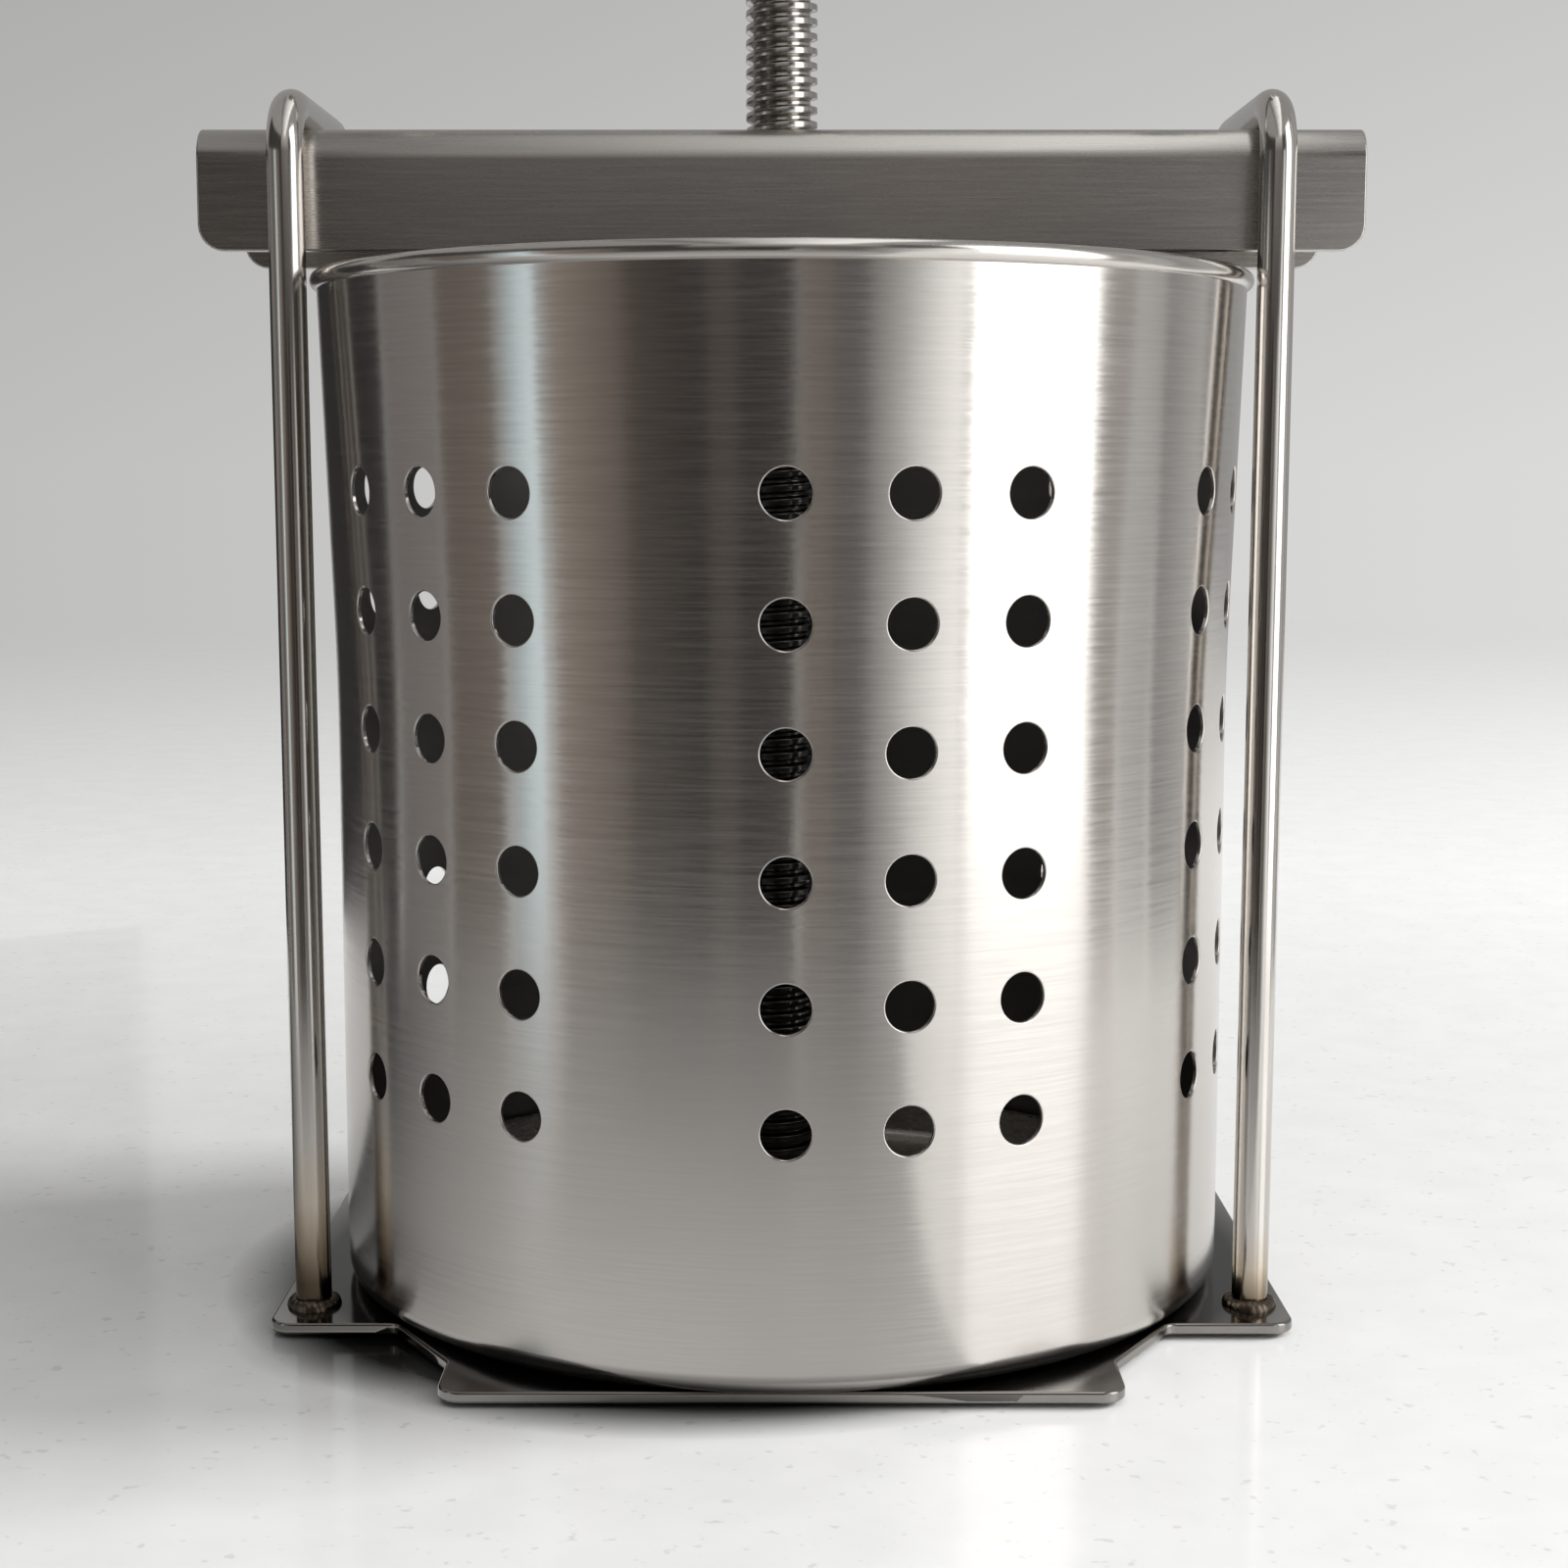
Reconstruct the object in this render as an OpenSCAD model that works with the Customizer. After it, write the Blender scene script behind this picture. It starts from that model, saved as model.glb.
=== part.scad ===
// Screw-down vegetable press. A perforated steel pot stands on a flat base
// plate. A wire loop is welded upright at each side of the plate, and a channel
// crossbar passes under both loops, across the top of the pot. A hand screw runs
// through a nut in the crossbar and drives a pressing disc down into the pot.
// Millimetres, +Z up. The origin is on the counter, on the axis of the pot, and
// the front of the press faces -Y. It is drawn with the disc on the pot's floor
// and the screw tightened, so that the crossbar bears up against the loops.

/* [Pot] */
// Outer radius of the straight lower wall
pot_r = 80; // [74:1:95]
// Height of the pot, from its underside to the top of the rim bead
pot_h = 179.3; // [165:0.1:230]
// Thickness of the pot's sheet
pot_t = 0.8; // [0.6:0.1:1.2]
// Outer radius of the corner between wall and floor
pot_corner_r = 4; // [3:0.5:6]
// Height above the pot's underside at which the wall starts to flare
flare_start = 110; // [90:1:140]
// How far the wall has flared outwards at the rim
flare = 2.3; // [0:0.1:4]
// Radius of the bead rolled at the rim
bead_r = 1.6; // [1.2:0.1:2.5]

/* [Pot holes] */
// Diameter of a drain hole
hole_d = 8; // [5:0.5:10]
// Height of the lowest row of holes above the pot's underside
hole_low = 42.6; // [25:0.1:46]
// Distance between rows of holes
hole_pitch = 19.8; // [14:0.1:22]
// Number of rows of holes
hole_rows = 6; // [3:1:6]
// Number of groups of columns round the pot
hole_groups = 6; // [4:1:6]
// Number of columns in a group
hole_columns = 3; // [1:1:3]
// Angle between columns in a group
column_angle = 14; // [10:0.5:17]
// Angle by which the front group is turned from the middle towards +X
group_turn = 14.5; // [0:0.5:30]

/* [Base plate] */
// Thickness of the base plate
plate_t = 2; // [1.5:0.1:4]
// Margin of a wing outside the legs of its loop, sideways
wing_margin_x = 6.2; // [5:0.1:12]
// Margin of a wing outside the legs of its loop, front and back
wing_margin_y = 10.4; // [6:0.1:14]
// How far each lobe stops inside the pot's wall
lobe_inset = 3.5; // [0:0.5:8]
// Half of the width of a lobe
lobe_x = 55; // [45:1:60]
// Half of the width at which the wings' straight edges end
wing_root_x = 66; // [62:1:72]
// Distance from the middle at which a lobe has narrowed to its own width
shoulder_y = 62; // [50:1:68]
// Radius of the plate's outer corners
plate_corner_r = 4; // [2:0.5:6]

/* [Wire loops] */
// Diameter of the loop wire
wire_d = 6.2; // [5:0.1:8]
// Half of the distance between the two legs of a loop, at the plate
loop_y = 33; // [30:0.5:38]
// Half of the distance between the lines of the legs, at the top of the loop
loop_top_y = 26; // [26:0.5:32]
// Angle by which a loop leans outwards, away from the pot
loop_lean = 0.55; // [0:0.05:1]
// Clearance between the legs and the rim bead
leg_gap = 1.2; // [0.8:0.1:4]
// Radius of the bends at the top of a loop, at the middle of the wire
loop_bend_r = 9; // [6:0.5:9]
// Width of the weld fillet round the foot of a leg
weld_w = 1.6; // [1:0.1:2.5]
// Height of the weld fillet round the foot of a leg
weld_h = 1.7; // [1:0.1:4]

/* [Crossbar] */
// Length of the crossbar
bar_l = 200; // [190:1:230]
// Width of the crossbar
bar_w = 41.5; // [36:0.5:44]
// Height of the crossbar
bar_h = 21; // [19.5:0.1:26]
// Thickness of the crossbar's sheet
bar_t = 2.3; // [1.5:0.1:3]
// Outer radius of the two bends along the crossbar
bar_bend_r = 5.5; // [4:0.5:8]
// Radius of the lower corners at the crossbar's ends
bar_corner_r = 4.5; // [2:0.5:7]
// Gap between the pot's rim and the crossbar's lower edges
rim_gap = 3; // [1.5:0.5:8]

/* [Screw and nut] */
// Outer diameter of the screw's thread
screw_d = 12.7; // [11:0.1:14]
// Length of thread that shows between the crossbar and the handle's hub
screw_show = 29; // [27:1:60]
// Distance across the flats of the nut
nut_flats = 22; // [19:0.5:25]
// Height of the nut
nut_h = 14; // [10:0.5:14]
// Width and height of the weld bead round the nut
nut_bead = 1.6; // [1:0.1:2]
// Diameter of the journal at the screw's lower end
journal_d = 8; // [6:0.5:8.5]
// Thickness of the ring that holds the foot on the journal
ring_t = 1; // [0.8:0.1:1.5]
// Width of the ring, from its bore to its rim
ring_w = 2.7; // [2:0.1:2.9]
// Depth of the ring's groove in the journal
groove_depth = 0.5; // [0.3:0.1:0.8]

/* [Swivel foot] */
// Diameter of the foot's flange
foot_d = 26; // [24:0.5:30]
// Thickness of the foot's flange
foot_t = 4; // [3.5:0.5:6]
// Diameter of the foot's neck
neck_d = 16; // [15:0.5:18]
// Height of the neck above the flange
neck_h = 6; // [4:0.5:10]
// Thickness of the thrust washer on the neck
washer_t = 1; // [0.8:0.1:2]

/* [Pressing disc] */
// Radial clearance between the disc and the pot's wall
disc_gap = 1.6; // [0.8:0.1:3]
// Thickness of the disc's sheet
disc_t = 2; // [1.5:0.1:3]
// Height of the disc's turned-up rim, over all
disc_h = 10; // [7:0.5:16]
// Outer radius of the bend between the disc and its rim
disc_bend_r = 4; // [3.5:0.5:6]
// Diameter of a drain hole in the disc
drain_d = 6; // [4:0.5:7]
// Radius of the inner ring of drain holes
drain_ring_r = 53; // [52:0.5:55]
// Distance between the two rings of drain holes
drain_ring_step = 13; // [9:0.5:14]
// Number of drain holes in the inner ring
drain_count = 12; // [8:1:16]

/* [Slide-on bracket] */
// Thickness of the bracket's sheet
bracket_t = 2; // [1.5:0.1:3]
// Outer radius of the bracket's bends
bracket_bend_r = 3; // [3:0.5:4]
// Width of each foot flange of the bracket
flange_w = 9.5; // [8:0.5:11]
// Length of the bracket on its closed side, from the middle
bracket_back = 22; // [20:1:26]
// Length of the bracket on its open side, from the middle
bracket_front = 36; // [34:1:40]
// Diameter of a rivet's shank
rivet_d = 4; // [3:0.5:5]
// Height of a rivet's head
rivet_head_h = 1.4; // [1:0.1:2]
// Distance from a rivet to the end of the bracket
rivet_inset = 7; // [6:0.5:8]

/* [Handle] */
// Diameter of the handle's hub
hub_d = 24; // [22:0.5:30]
// Height of the handle's hub
hub_h = 28; // [26:0.5:36]
// Diameter of the handle's cross rod
rod_d = 9.5; // [8:0.5:10]
// Distance between the middles of the two knobs
knob_span = 150; // [110:1:180]
// Diameter of a knob
knob_d = 18; // [15:0.5:24]
// Diameter of the cross pin through hub and screw
pin_d = 4; // [3:0.5:5]

/* [Clearances] */
// Radial running clearance of the screw in its nut and of the journal in its foot
running_gap = 0.05; // [0.02:0.01:0.1]
// Radial clearance of pieces that are pressed, pinned or welded together
seat_gap = 0.02; // [0.01:0.01:0.04]
// Gap between pieces that only rest on each other
rest_gap = 0.3; // [0.2:0.05:0.4]
// Clearance all round the foot inside its bracket
slide_gap = 0.5; // [0.4:0.1:0.8]

/* [Hidden] */
$fn = 72;
// A cut runs this far past the face that it opens
past = 1;
// A bend of a loop runs this angle into the straights, and its radius is this much less
bend_overrun = 0.6;
bend_thinning = 0.02;

// Steel colours, as the photograph shows them
satin = [0.74, 0.73, 0.71];
bright = [0.84, 0.84, 0.83];
dull = [0.58, 0.57, 0.55];
heat_tint = [0.45, 0.36, 0.28];

// The pot, from the plate up
pot_z = plate_t;
rim_z = pot_z + pot_h;
wall_top = rim_z - 2 * bead_r;
rim_r = pot_r + flare;
bead_mid_r = rim_r - pot_t / 2;
bead_z = rim_z - bead_r;

// The crossbar, over the rim
bar_low = rim_z + rim_gap;
bar_top = bar_low + bar_h;
bar_inside_top = bar_top - bar_t;

// The loops, over the crossbar and past the rim, which sets how far out they stand
wire_r = wire_d / 2;
loop_z = bar_top + rest_gap + wire_r;
loop_h = (loop_z - plate_t) / cos(loop_lean);
leg_taper = atan((loop_y - loop_top_y) / loop_h);
bend_angle = 90 - leg_taper;
bend_reach = loop_bend_r * tan(bend_angle / 2);
leg_l = loop_h / cos(leg_taper) - bend_reach;
rim_over_plate = bead_z - plate_t;
leg_rim_y = loop_y - rim_over_plate * tan(leg_taper);
leg_reach = bead_mid_r + bead_r + leg_gap + wire_r;
leg_rim_x = sqrt(leg_reach * leg_reach - leg_rim_y * leg_rim_y);
loop_x = round(100 * (leg_rim_x - rim_over_plate * tan(loop_lean))) / 100;

// The base plate, under pot and legs
wing_x = loop_x + wing_margin_x;
wing_y = loop_y + wing_margin_y;
lobe_y = pot_r - lobe_inset;

// The disc, on the pot's floor
disc_z = pot_z + pot_t + rest_gap;
disc_r = pot_r - pot_t - disc_gap;
disc_top = disc_z + disc_t;

// The foot, over the disc, and the bracket round it
foot_z = disc_top + rest_gap;
foot_top = foot_z + foot_t;
neck_top = foot_top + neck_h;
shoulder_z = neck_top + washer_t;
bracket_inside_w = foot_d + 2 * slide_gap;
bracket_inside_top = foot_top + slide_gap;
bracket_top = bracket_inside_top + bracket_t;
slot_r = neck_d / 2 + slide_gap;
wall_w = bracket_inside_w + 2 * bracket_t;
bracket_w = wall_w + 2 * flange_w;
rivet_y = wall_w / 2 + flange_w / 2;
rivet_xs = [-bracket_back + rivet_inset, bracket_front - rivet_inset];

// The journal and its ring, in the foot's counterbore
journal_r = journal_d / 2;
groove_r = journal_r - groove_depth;
ring_r = groove_r + ring_w;
counterbore_r = ring_r + slide_gap;
counterbore_top = foot_z + foot_t / 2 + ring_t;
ring_top = counterbore_top - 0.1;
ring_z = ring_top - ring_t;
journal_end = foot_z + 0.8;

// The hub, on the screw's upper end
hub_z = bar_top + screw_show;
hub_wall = (hub_h - rod_d - hub_h * 0.4) / 2;
socket_h = hub_h * 0.4;
rod_z = hub_z + socket_h + hub_wall + rod_d / 2;
pin_z = hub_z + socket_h / 2;
screw_top = hub_z + socket_h - rest_gap;
screw_r = screw_d / 2;

// A bar of square section with rounded vertical corners, centred on the axis
module rounded_slab(x, y, t, r) {
    linear_extrude(t) {
        square([2 * x, 2 * (y - r)], center = true);
        square([2 * (x - r), 2 * y], center = true);
        for (sx = [-1, 1], sy = [-1, 1])
            translate([sx * (x - r), sy * (y - r)]) circle(r = r);
    }
}

// Wings carry the loops, and lobes reach out under the pot to front and back
module base_plate() color(satin) {
    rounded_slab(wing_x, wing_y, plate_t, plate_corner_r);
    rounded_slab(lobe_x, lobe_y, plate_t, plate_corner_r);
    linear_extrude(plate_t)
        polygon([
            [wing_root_x, wing_y], [lobe_x, shoulder_y],
            [-lobe_x, shoulder_y], [-wing_root_x, wing_y],
            [-wing_root_x, -wing_y], [-lobe_x, -shoulder_y],
            [lobe_x, -shoulder_y], [wing_root_x, -wing_y]
        ]);
}

// Places what follows on one leg of the right loop, which leans outwards and tapers upwards
module along_leg(side)
    rotate([0, loop_lean, 0]) rotate(side) translate([0, loop_y, 0]) rotate([leg_taper, 0, 0])
        children();

// One loop is a single wire: two legs that draw together upwards, two bends and a straight
// top. It leans outwards as one, and its feet are cut level, to stand on the plate. Bending has
// left the bends a hair slimmer, and they run a little way into the straight stretches.
module wire_loop() color(bright) difference() {
    translate([0, 0, plate_t]) {
        for (side = [0, 180]) along_leg(side) {
            translate([0, 0, -past]) cylinder(r = wire_r, h = leg_l + past);
            translate([0, -loop_bend_r, leg_l]) rotate([90, 0, 90]) rotate(-bend_overrun)
                rotate_extrude(angle = bend_angle + 2 * bend_overrun)
                    translate([loop_bend_r, 0]) circle(r = wire_r - bend_thinning);
        }
        rotate([0, loop_lean, 0]) translate([0, 0, loop_h]) rotate([90, 0, 0])
            cylinder(r = wire_r, h = 2 * (loop_top_y - bend_reach), center = true);
    }
    translate([-wire_d, -loop_y - wire_d, plate_t - wire_d])
        cube([2 * wire_d, 2 * (loop_y + wire_d), wire_d]);
}

module right_loop() translate([loop_x, 0, 0]) wire_loop();

module left_loop() rotate(180) right_loop();

// A fillet of weld metal stands round the foot of a leg, and its bore follows the leg
module leg_weld(side) difference() {
    outer = wire_r + seat_gap + weld_w;
    rotate(side) translate([0, loop_y, 0]) rotate_extrude()
        polygon([
            [0, 0], [outer, 0], [outer - weld_w * 0.6, weld_h * 0.4],
            [outer - weld_w * 0.9, weld_h], [0, weld_h]
        ]);
    along_leg(side) translate([0, 0, -past])
        cylinder(r = wire_r + seat_gap, h = weld_h + 2 * past);
}

module loop_welds() color(heat_tint)
    for (turn = [0, 180], side = [0, 180])
        rotate(turn) translate([loop_x, 0, plate_t]) leg_weld(side);

// Half of a filled pot's outline, grown inwards by t, up to z = top
module pot_outline(t, top) {
    r = pot_r - t;
    corner = pot_corner_r - t;
    low = pot_z + t;
    flare_z = pot_z + flare_start;
    translate([0, low + corner]) square([r, flare_z - low - corner]);
    translate([0, low]) square([r - corner, corner]);
    translate([r - corner, low + corner]) circle(r = corner);
    polygon([[0, flare_z], [r, flare_z], [r + flare, wall_top], [r + flare, top], [0, top]]);
}

// Every drain hole as a rod through the wall, group by group
module pot_hole_rods() {
    middle = (hole_columns - 1) / 2;
    for (g = [0 : hole_groups - 1], c = [0 : hole_columns - 1], row = [0 : hole_rows - 1])
        rotate(group_turn - 90 + g * 360 / hole_groups + (c - middle) * column_angle)
            translate([pot_r - pot_corner_r, 0, pot_z + hole_low + row * hole_pitch])
                rotate([0, 90, 0]) cylinder(d = hole_d, h = pot_corner_r + flare + past);
}

// A drawn pot with a flared mouth, a rolled rim and its holes
module press_pot() color(satin) difference() {
    rotate_extrude() {
        difference() {
            pot_outline(0, bead_z);
            pot_outline(pot_t, rim_z + past);
            translate([-pot_r, 0]) square([pot_r, rim_z]);
        }
        translate([bead_mid_r, bead_z]) circle(r = bead_r);
    }
    pot_hole_rods();
}

// The outline of an inverted U: w wide, from z = low to z = top, with bends of radius r
module arch(w, low, top, r) {
    translate([-w / 2, low]) square([w, top - low - r]);
    translate([-w / 2 + r, low]) square([w - 2 * r, top - low]);
    for (s = [-1, 1]) translate([s * (w / 2 - r), top - r]) circle(r = r);
}

// A folded channel, open downwards, with a hole for the screw in its top
module crossbar() color(dull) difference() {
    intersection() {
        rotate([90, 0, 90]) linear_extrude(bar_l, center = true) difference() {
            arch(bar_w, bar_low, bar_top, bar_bend_r);
            arch(bar_w - 2 * bar_t, bar_low - past, bar_inside_top, bar_bend_r - bar_t);
        }
        rotate([90, 0, 0]) linear_extrude(bar_w + 2 * past, center = true) {
            translate([-bar_l / 2, bar_low + bar_corner_r])
                square([bar_l, bar_h - bar_corner_r]);
            translate([-bar_l / 2 + bar_corner_r, bar_low])
                square([bar_l - 2 * bar_corner_r, bar_h]);
            for (s = [-1, 1])
                translate([s * (bar_l / 2 - bar_corner_r), bar_low + bar_corner_r])
                    circle(r = bar_corner_r);
        }
    }
    translate([0, 0, bar_inside_top - past])
        cylinder(r = screw_r + rest_gap, h = bar_t + 2 * past);
}

// The nut hangs inside the channel, under its top
nut_r = nut_flats / 2 / cos(30);
module screw_nut() color(satin) difference() {
    translate([0, 0, bar_inside_top - nut_h]) cylinder(r = nut_r, h = nut_h, $fn = 6);
    translate([0, 0, bar_inside_top - nut_h - past])
        cylinder(r = screw_r + running_gap, h = nut_h + 2 * past);
}

module nut_weld() color(heat_tint)
    translate([0, 0, bar_inside_top - nut_bead]) linear_extrude(nut_bead) difference() {
        circle(r = nut_r + nut_bead, $fn = 6);
        circle(r = nut_r + seat_gap, $fn = 6);
    }

// The foot turns on the journal: a flange below, a neck that runs in the bracket's slot
module swivel_foot() color(satin) rotate_extrude() difference() {
    chamfer = 0.6;
    polygon([
        [0, foot_z], [foot_d / 2 - chamfer, foot_z], [foot_d / 2, foot_z + chamfer],
        [foot_d / 2, foot_top - chamfer], [foot_d / 2 - chamfer, foot_top],
        [neck_d / 2, foot_top], [neck_d / 2, neck_top], [0, neck_top]
    ]);
    translate([0, foot_z - past])
        square([journal_r + running_gap, foot_t + neck_h + 2 * past]);
    translate([0, foot_z - past]) square([counterbore_r, counterbore_top - foot_z + past]);
}

module thrust_washer() color(bright) translate([0, 0, neck_top]) difference() {
    cylinder(d = neck_d, h = washer_t);
    translate([0, 0, -past]) cylinder(r = journal_r + 2 * running_gap, h = washer_t + 2 * past);
}

// An open ring, sprung into the journal's groove
module retaining_ring() color(dull) translate([0, 0, ring_z]) difference() {
    cylinder(r = ring_r, h = ring_t);
    translate([0, 0, -past]) cylinder(r = groove_r + seat_gap, h = ring_t + 2 * past);
    translate([0, -ring_w / 2, -past]) cube([ring_r + past, ring_w, ring_t + 2 * past]);
}

// The screw as one turned bar: journal with groove, shoulder, and the threaded length
module press_screw() color(bright) difference() {
    chamfer = screw_r - journal_r - 1;
    rotate_extrude() polygon([
        [0, journal_end], [journal_r - seat_gap, journal_end],
        [journal_r - seat_gap, ring_z - seat_gap], [groove_r, ring_z - seat_gap],
        [groove_r, ring_top + seat_gap], [journal_r, ring_top + seat_gap],
        [journal_r, shoulder_z], [screw_r - chamfer, shoulder_z],
        [screw_r, shoulder_z + chamfer], [screw_r, screw_top], [0, screw_top]
    ]);
    translate([0, 0, pin_z]) rotate([90, 0, 0])
        cylinder(r = pin_d / 2 + seat_gap, h = screw_d + 2 * past, center = true);
}

// The hub is a turned boss with a socket for the screw and a bore for the cross rod
module handle_hub() color(bright) difference() {
    foot_chamfer = 1;
    crown = 4;
    rotate_extrude() {
        polygon([
            [0, hub_z], [hub_d / 2 - foot_chamfer, hub_z], [hub_d / 2, hub_z + foot_chamfer],
            [hub_d / 2, hub_z + hub_h - crown], [hub_d / 2 - crown, hub_z + hub_h - crown],
            [hub_d / 2 - crown, hub_z + hub_h], [0, hub_z + hub_h]
        ]);
        translate([hub_d / 2 - crown, hub_z + hub_h - crown]) circle(r = crown);
    }
    translate([0, 0, hub_z - past]) cylinder(r = screw_r + seat_gap, h = socket_h + past);
    translate([0, 0, rod_z]) rotate([0, 90, 0])
        cylinder(r = rod_d / 2 + seat_gap, h = hub_d + 2 * past, center = true);
    translate([0, 0, pin_z]) rotate([90, 0, 0])
        cylinder(r = pin_d / 2 + seat_gap, h = hub_d + 2 * past, center = true);
}

module hub_pin() color(dull) translate([0, 0, pin_z]) rotate([90, 0, 0])
    cylinder(d = pin_d, h = hub_d - 1, center = true);

module handle_rod() color(bright) translate([0, 0, rod_z]) rotate([0, 90, 0])
    cylinder(d = rod_d, h = knob_span, center = true);

// A ball knob, drilled to its middle for the end of the rod
module left_knob() color(bright) translate([-knob_span / 2, 0, rod_z]) difference() {
    sphere(d = knob_d);
    rotate([0, 90, 0]) translate([0, 0, -seat_gap])
        cylinder(r = rod_d / 2 + seat_gap, h = knob_d);
}

module right_knob() rotate(180) left_knob();

// Half of a filled pan's outline with rounded lower corner, grown inwards by t
module pan_outline(t) {
    r = disc_r - t;
    corner = disc_bend_r - t;
    low = disc_z + t;
    translate([0, low]) square([r - corner, disc_h]);
    translate([0, low + corner]) square([r, disc_h - corner]);
    translate([r - corner, low + corner]) circle(r = corner);
}

module rivet_places()
    for (x = rivet_xs, side = [-1, 1]) translate([x, side * rivet_y, 0]) children();

// A pressed disc with a turned-up rim, two rings of drain holes and the rivets' holes
module press_disc() color(satin) difference() {
    rotate_extrude() difference() {
        intersection() {
            pan_outline(0);
            translate([0, disc_z]) square([disc_r, disc_h]);
        }
        pan_outline(disc_t);
    }
    for (ring = [0, 1], i = [0 : drain_count - 1])
        rotate((i + ring / 2) * 360 / drain_count)
            translate([drain_ring_r + ring * drain_ring_step, 0, disc_z - past])
                cylinder(d = drain_d, h = disc_t + 2 * past);
    rivet_places() translate([0, 0, disc_z - past])
        cylinder(r = rivet_d / 2 + seat_gap, h = disc_t + 2 * past);
}

// A folded bracket, riveted to the disc. The foot slides in at its open end, under its top,
// and the neck stops at the round end of the slot, on the axis.
module disc_bracket() color(satin) difference() {
    translate([-bracket_back, 0, 0]) rotate([90, 0, 90])
        linear_extrude(bracket_back + bracket_front) difference() {
            union() {
                arch(wall_w, disc_top, bracket_top, bracket_bend_r);
                translate([-bracket_w / 2, disc_top]) square([bracket_w, bracket_t]);
            }
            arch(bracket_inside_w, disc_top - past, bracket_inside_top,
                bracket_bend_r - bracket_t);
        }
    translate([0, 0, bracket_inside_top - past])
        cylinder(r = slot_r, h = bracket_t + 2 * past);
    translate([0, -slot_r, bracket_inside_top - past])
        cube([bracket_front + past, 2 * slot_r, bracket_t + 2 * past]);
    rivet_places() translate([0, 0, disc_top - past])
        cylinder(r = rivet_d / 2 + seat_gap, h = bracket_t + 2 * past);
}

// Each rivet is flush under the disc and has a low round head over the bracket's flange
module bracket_rivets() color(bright) rivet_places() {
    head_r = rivet_d * 0.8;
    head_z = disc_top + bracket_t;
    translate([0, 0, disc_z]) cylinder(d = rivet_d, h = head_z - disc_z + rivet_head_h / 2);
    translate([0, 0, head_z]) rotate_extrude() polygon([
        [0, 0], [head_r, 0], [head_r, rivet_head_h * 0.4],
        [head_r * 0.7, rivet_head_h * 0.85], [head_r * 0.3, rivet_head_h], [0, rivet_head_h]
    ]);
}

base_plate();
left_loop();
right_loop();
loop_welds();
press_pot();
crossbar();
screw_nut();
nut_weld();
swivel_foot();
thrust_washer();
retaining_ring();
press_screw();
handle_hub();
hub_pin();
handle_rod();
left_knob();
right_knob();
press_disc();
disc_bracket();
bracket_rivets();
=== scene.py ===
# %% [markdown]
# # A screw-down vegetable press, finished in steel
#
# The press is all stainless steel: a perforated pot with a rolled rim, a flat plate under it,
# two wire loops, a channel crossbar and a hand screw that drives a pressing disc.
# Each piece gets the finish that its trade leaves on it: sheet is brushed, wire is drawn,
# screw and foot are turned, and welds keep the colours of the heat.
# The construction comes from the frame, so every size below is read from it or repeats
# the size to which the real piece is made. Sizes are in millimetres until a mesh is made.

# %% Load the frame
import math

import bpy
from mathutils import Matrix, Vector


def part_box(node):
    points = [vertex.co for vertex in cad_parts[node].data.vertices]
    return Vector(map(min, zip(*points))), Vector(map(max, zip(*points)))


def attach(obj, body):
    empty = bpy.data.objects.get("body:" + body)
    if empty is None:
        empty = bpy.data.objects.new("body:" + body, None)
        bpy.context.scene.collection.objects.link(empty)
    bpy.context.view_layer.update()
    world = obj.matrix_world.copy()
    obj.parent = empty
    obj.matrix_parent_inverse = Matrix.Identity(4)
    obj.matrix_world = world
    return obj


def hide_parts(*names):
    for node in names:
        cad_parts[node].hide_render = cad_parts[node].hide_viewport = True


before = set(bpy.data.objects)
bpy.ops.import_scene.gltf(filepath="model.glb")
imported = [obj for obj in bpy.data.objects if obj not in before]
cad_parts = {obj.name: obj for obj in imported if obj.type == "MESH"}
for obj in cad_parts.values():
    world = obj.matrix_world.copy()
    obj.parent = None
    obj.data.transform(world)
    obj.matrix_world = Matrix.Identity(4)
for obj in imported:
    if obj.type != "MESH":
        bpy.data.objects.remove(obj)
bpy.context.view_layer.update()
MM = 0.001


def corners_of(node):
    """Lowest and highest corner of a piece of the frame, in millimetres to a hundredth."""
    return [Vector([round(c / MM, 2) for c in corner]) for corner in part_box(node)]


# %% [markdown]
# ## Camera
#
# The camera stands close, a little above the middle of the pot and tipped down by seven
# degrees. That is near enough for the legs of the loops to lean outwards at the top, so
# distance matters as much as direction. The handle is above the top of the picture.

# %% Camera
camera_data = bpy.data.cameras.new("camera")
camera_data.lens = 59.37
camera_data.sensor_width = 36
camera_data.clip_start = 0.01
camera_data.clip_end = 40
camera = bpy.data.objects.new("camera", camera_data)
camera.location = (0.0004, -0.4716, 0.1472)
camera_tip = 6.94
camera.rotation_euler = (math.radians(90 - camera_tip), 0, 0)
bpy.context.scene.collection.objects.link(camera)
bpy.context.scene.camera = camera
bpy.context.scene.view_settings.view_transform = "Standard"
print("The camera is", round(camera.location.length, 3), "m from the foot of the pot")

# %% [markdown]
# ## Nodes in one line
#
# A finish is a small graph of nodes. One helper makes a node, sets its options and fills
# its inputs, either with a plain value or with another node's output. Three more cover
# what every finish needs: a mixture of two colours, a range for a value, and a grain.


# %% Helpers for shader nodes
def add_node(tree, kind, inputs=None, **options):
    """Adds a node of the given kind, with its options and its inputs."""
    made = tree.nodes.new("ShaderNode" + kind)
    for name, value in options.items():
        setattr(made, name, value)
    for name, value in (inputs or {}).items():
        if isinstance(value, bpy.types.NodeSocket):
            tree.links.new(value, made.inputs[name])
        else:
            made.inputs[name].default_value = value
    return made


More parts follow.
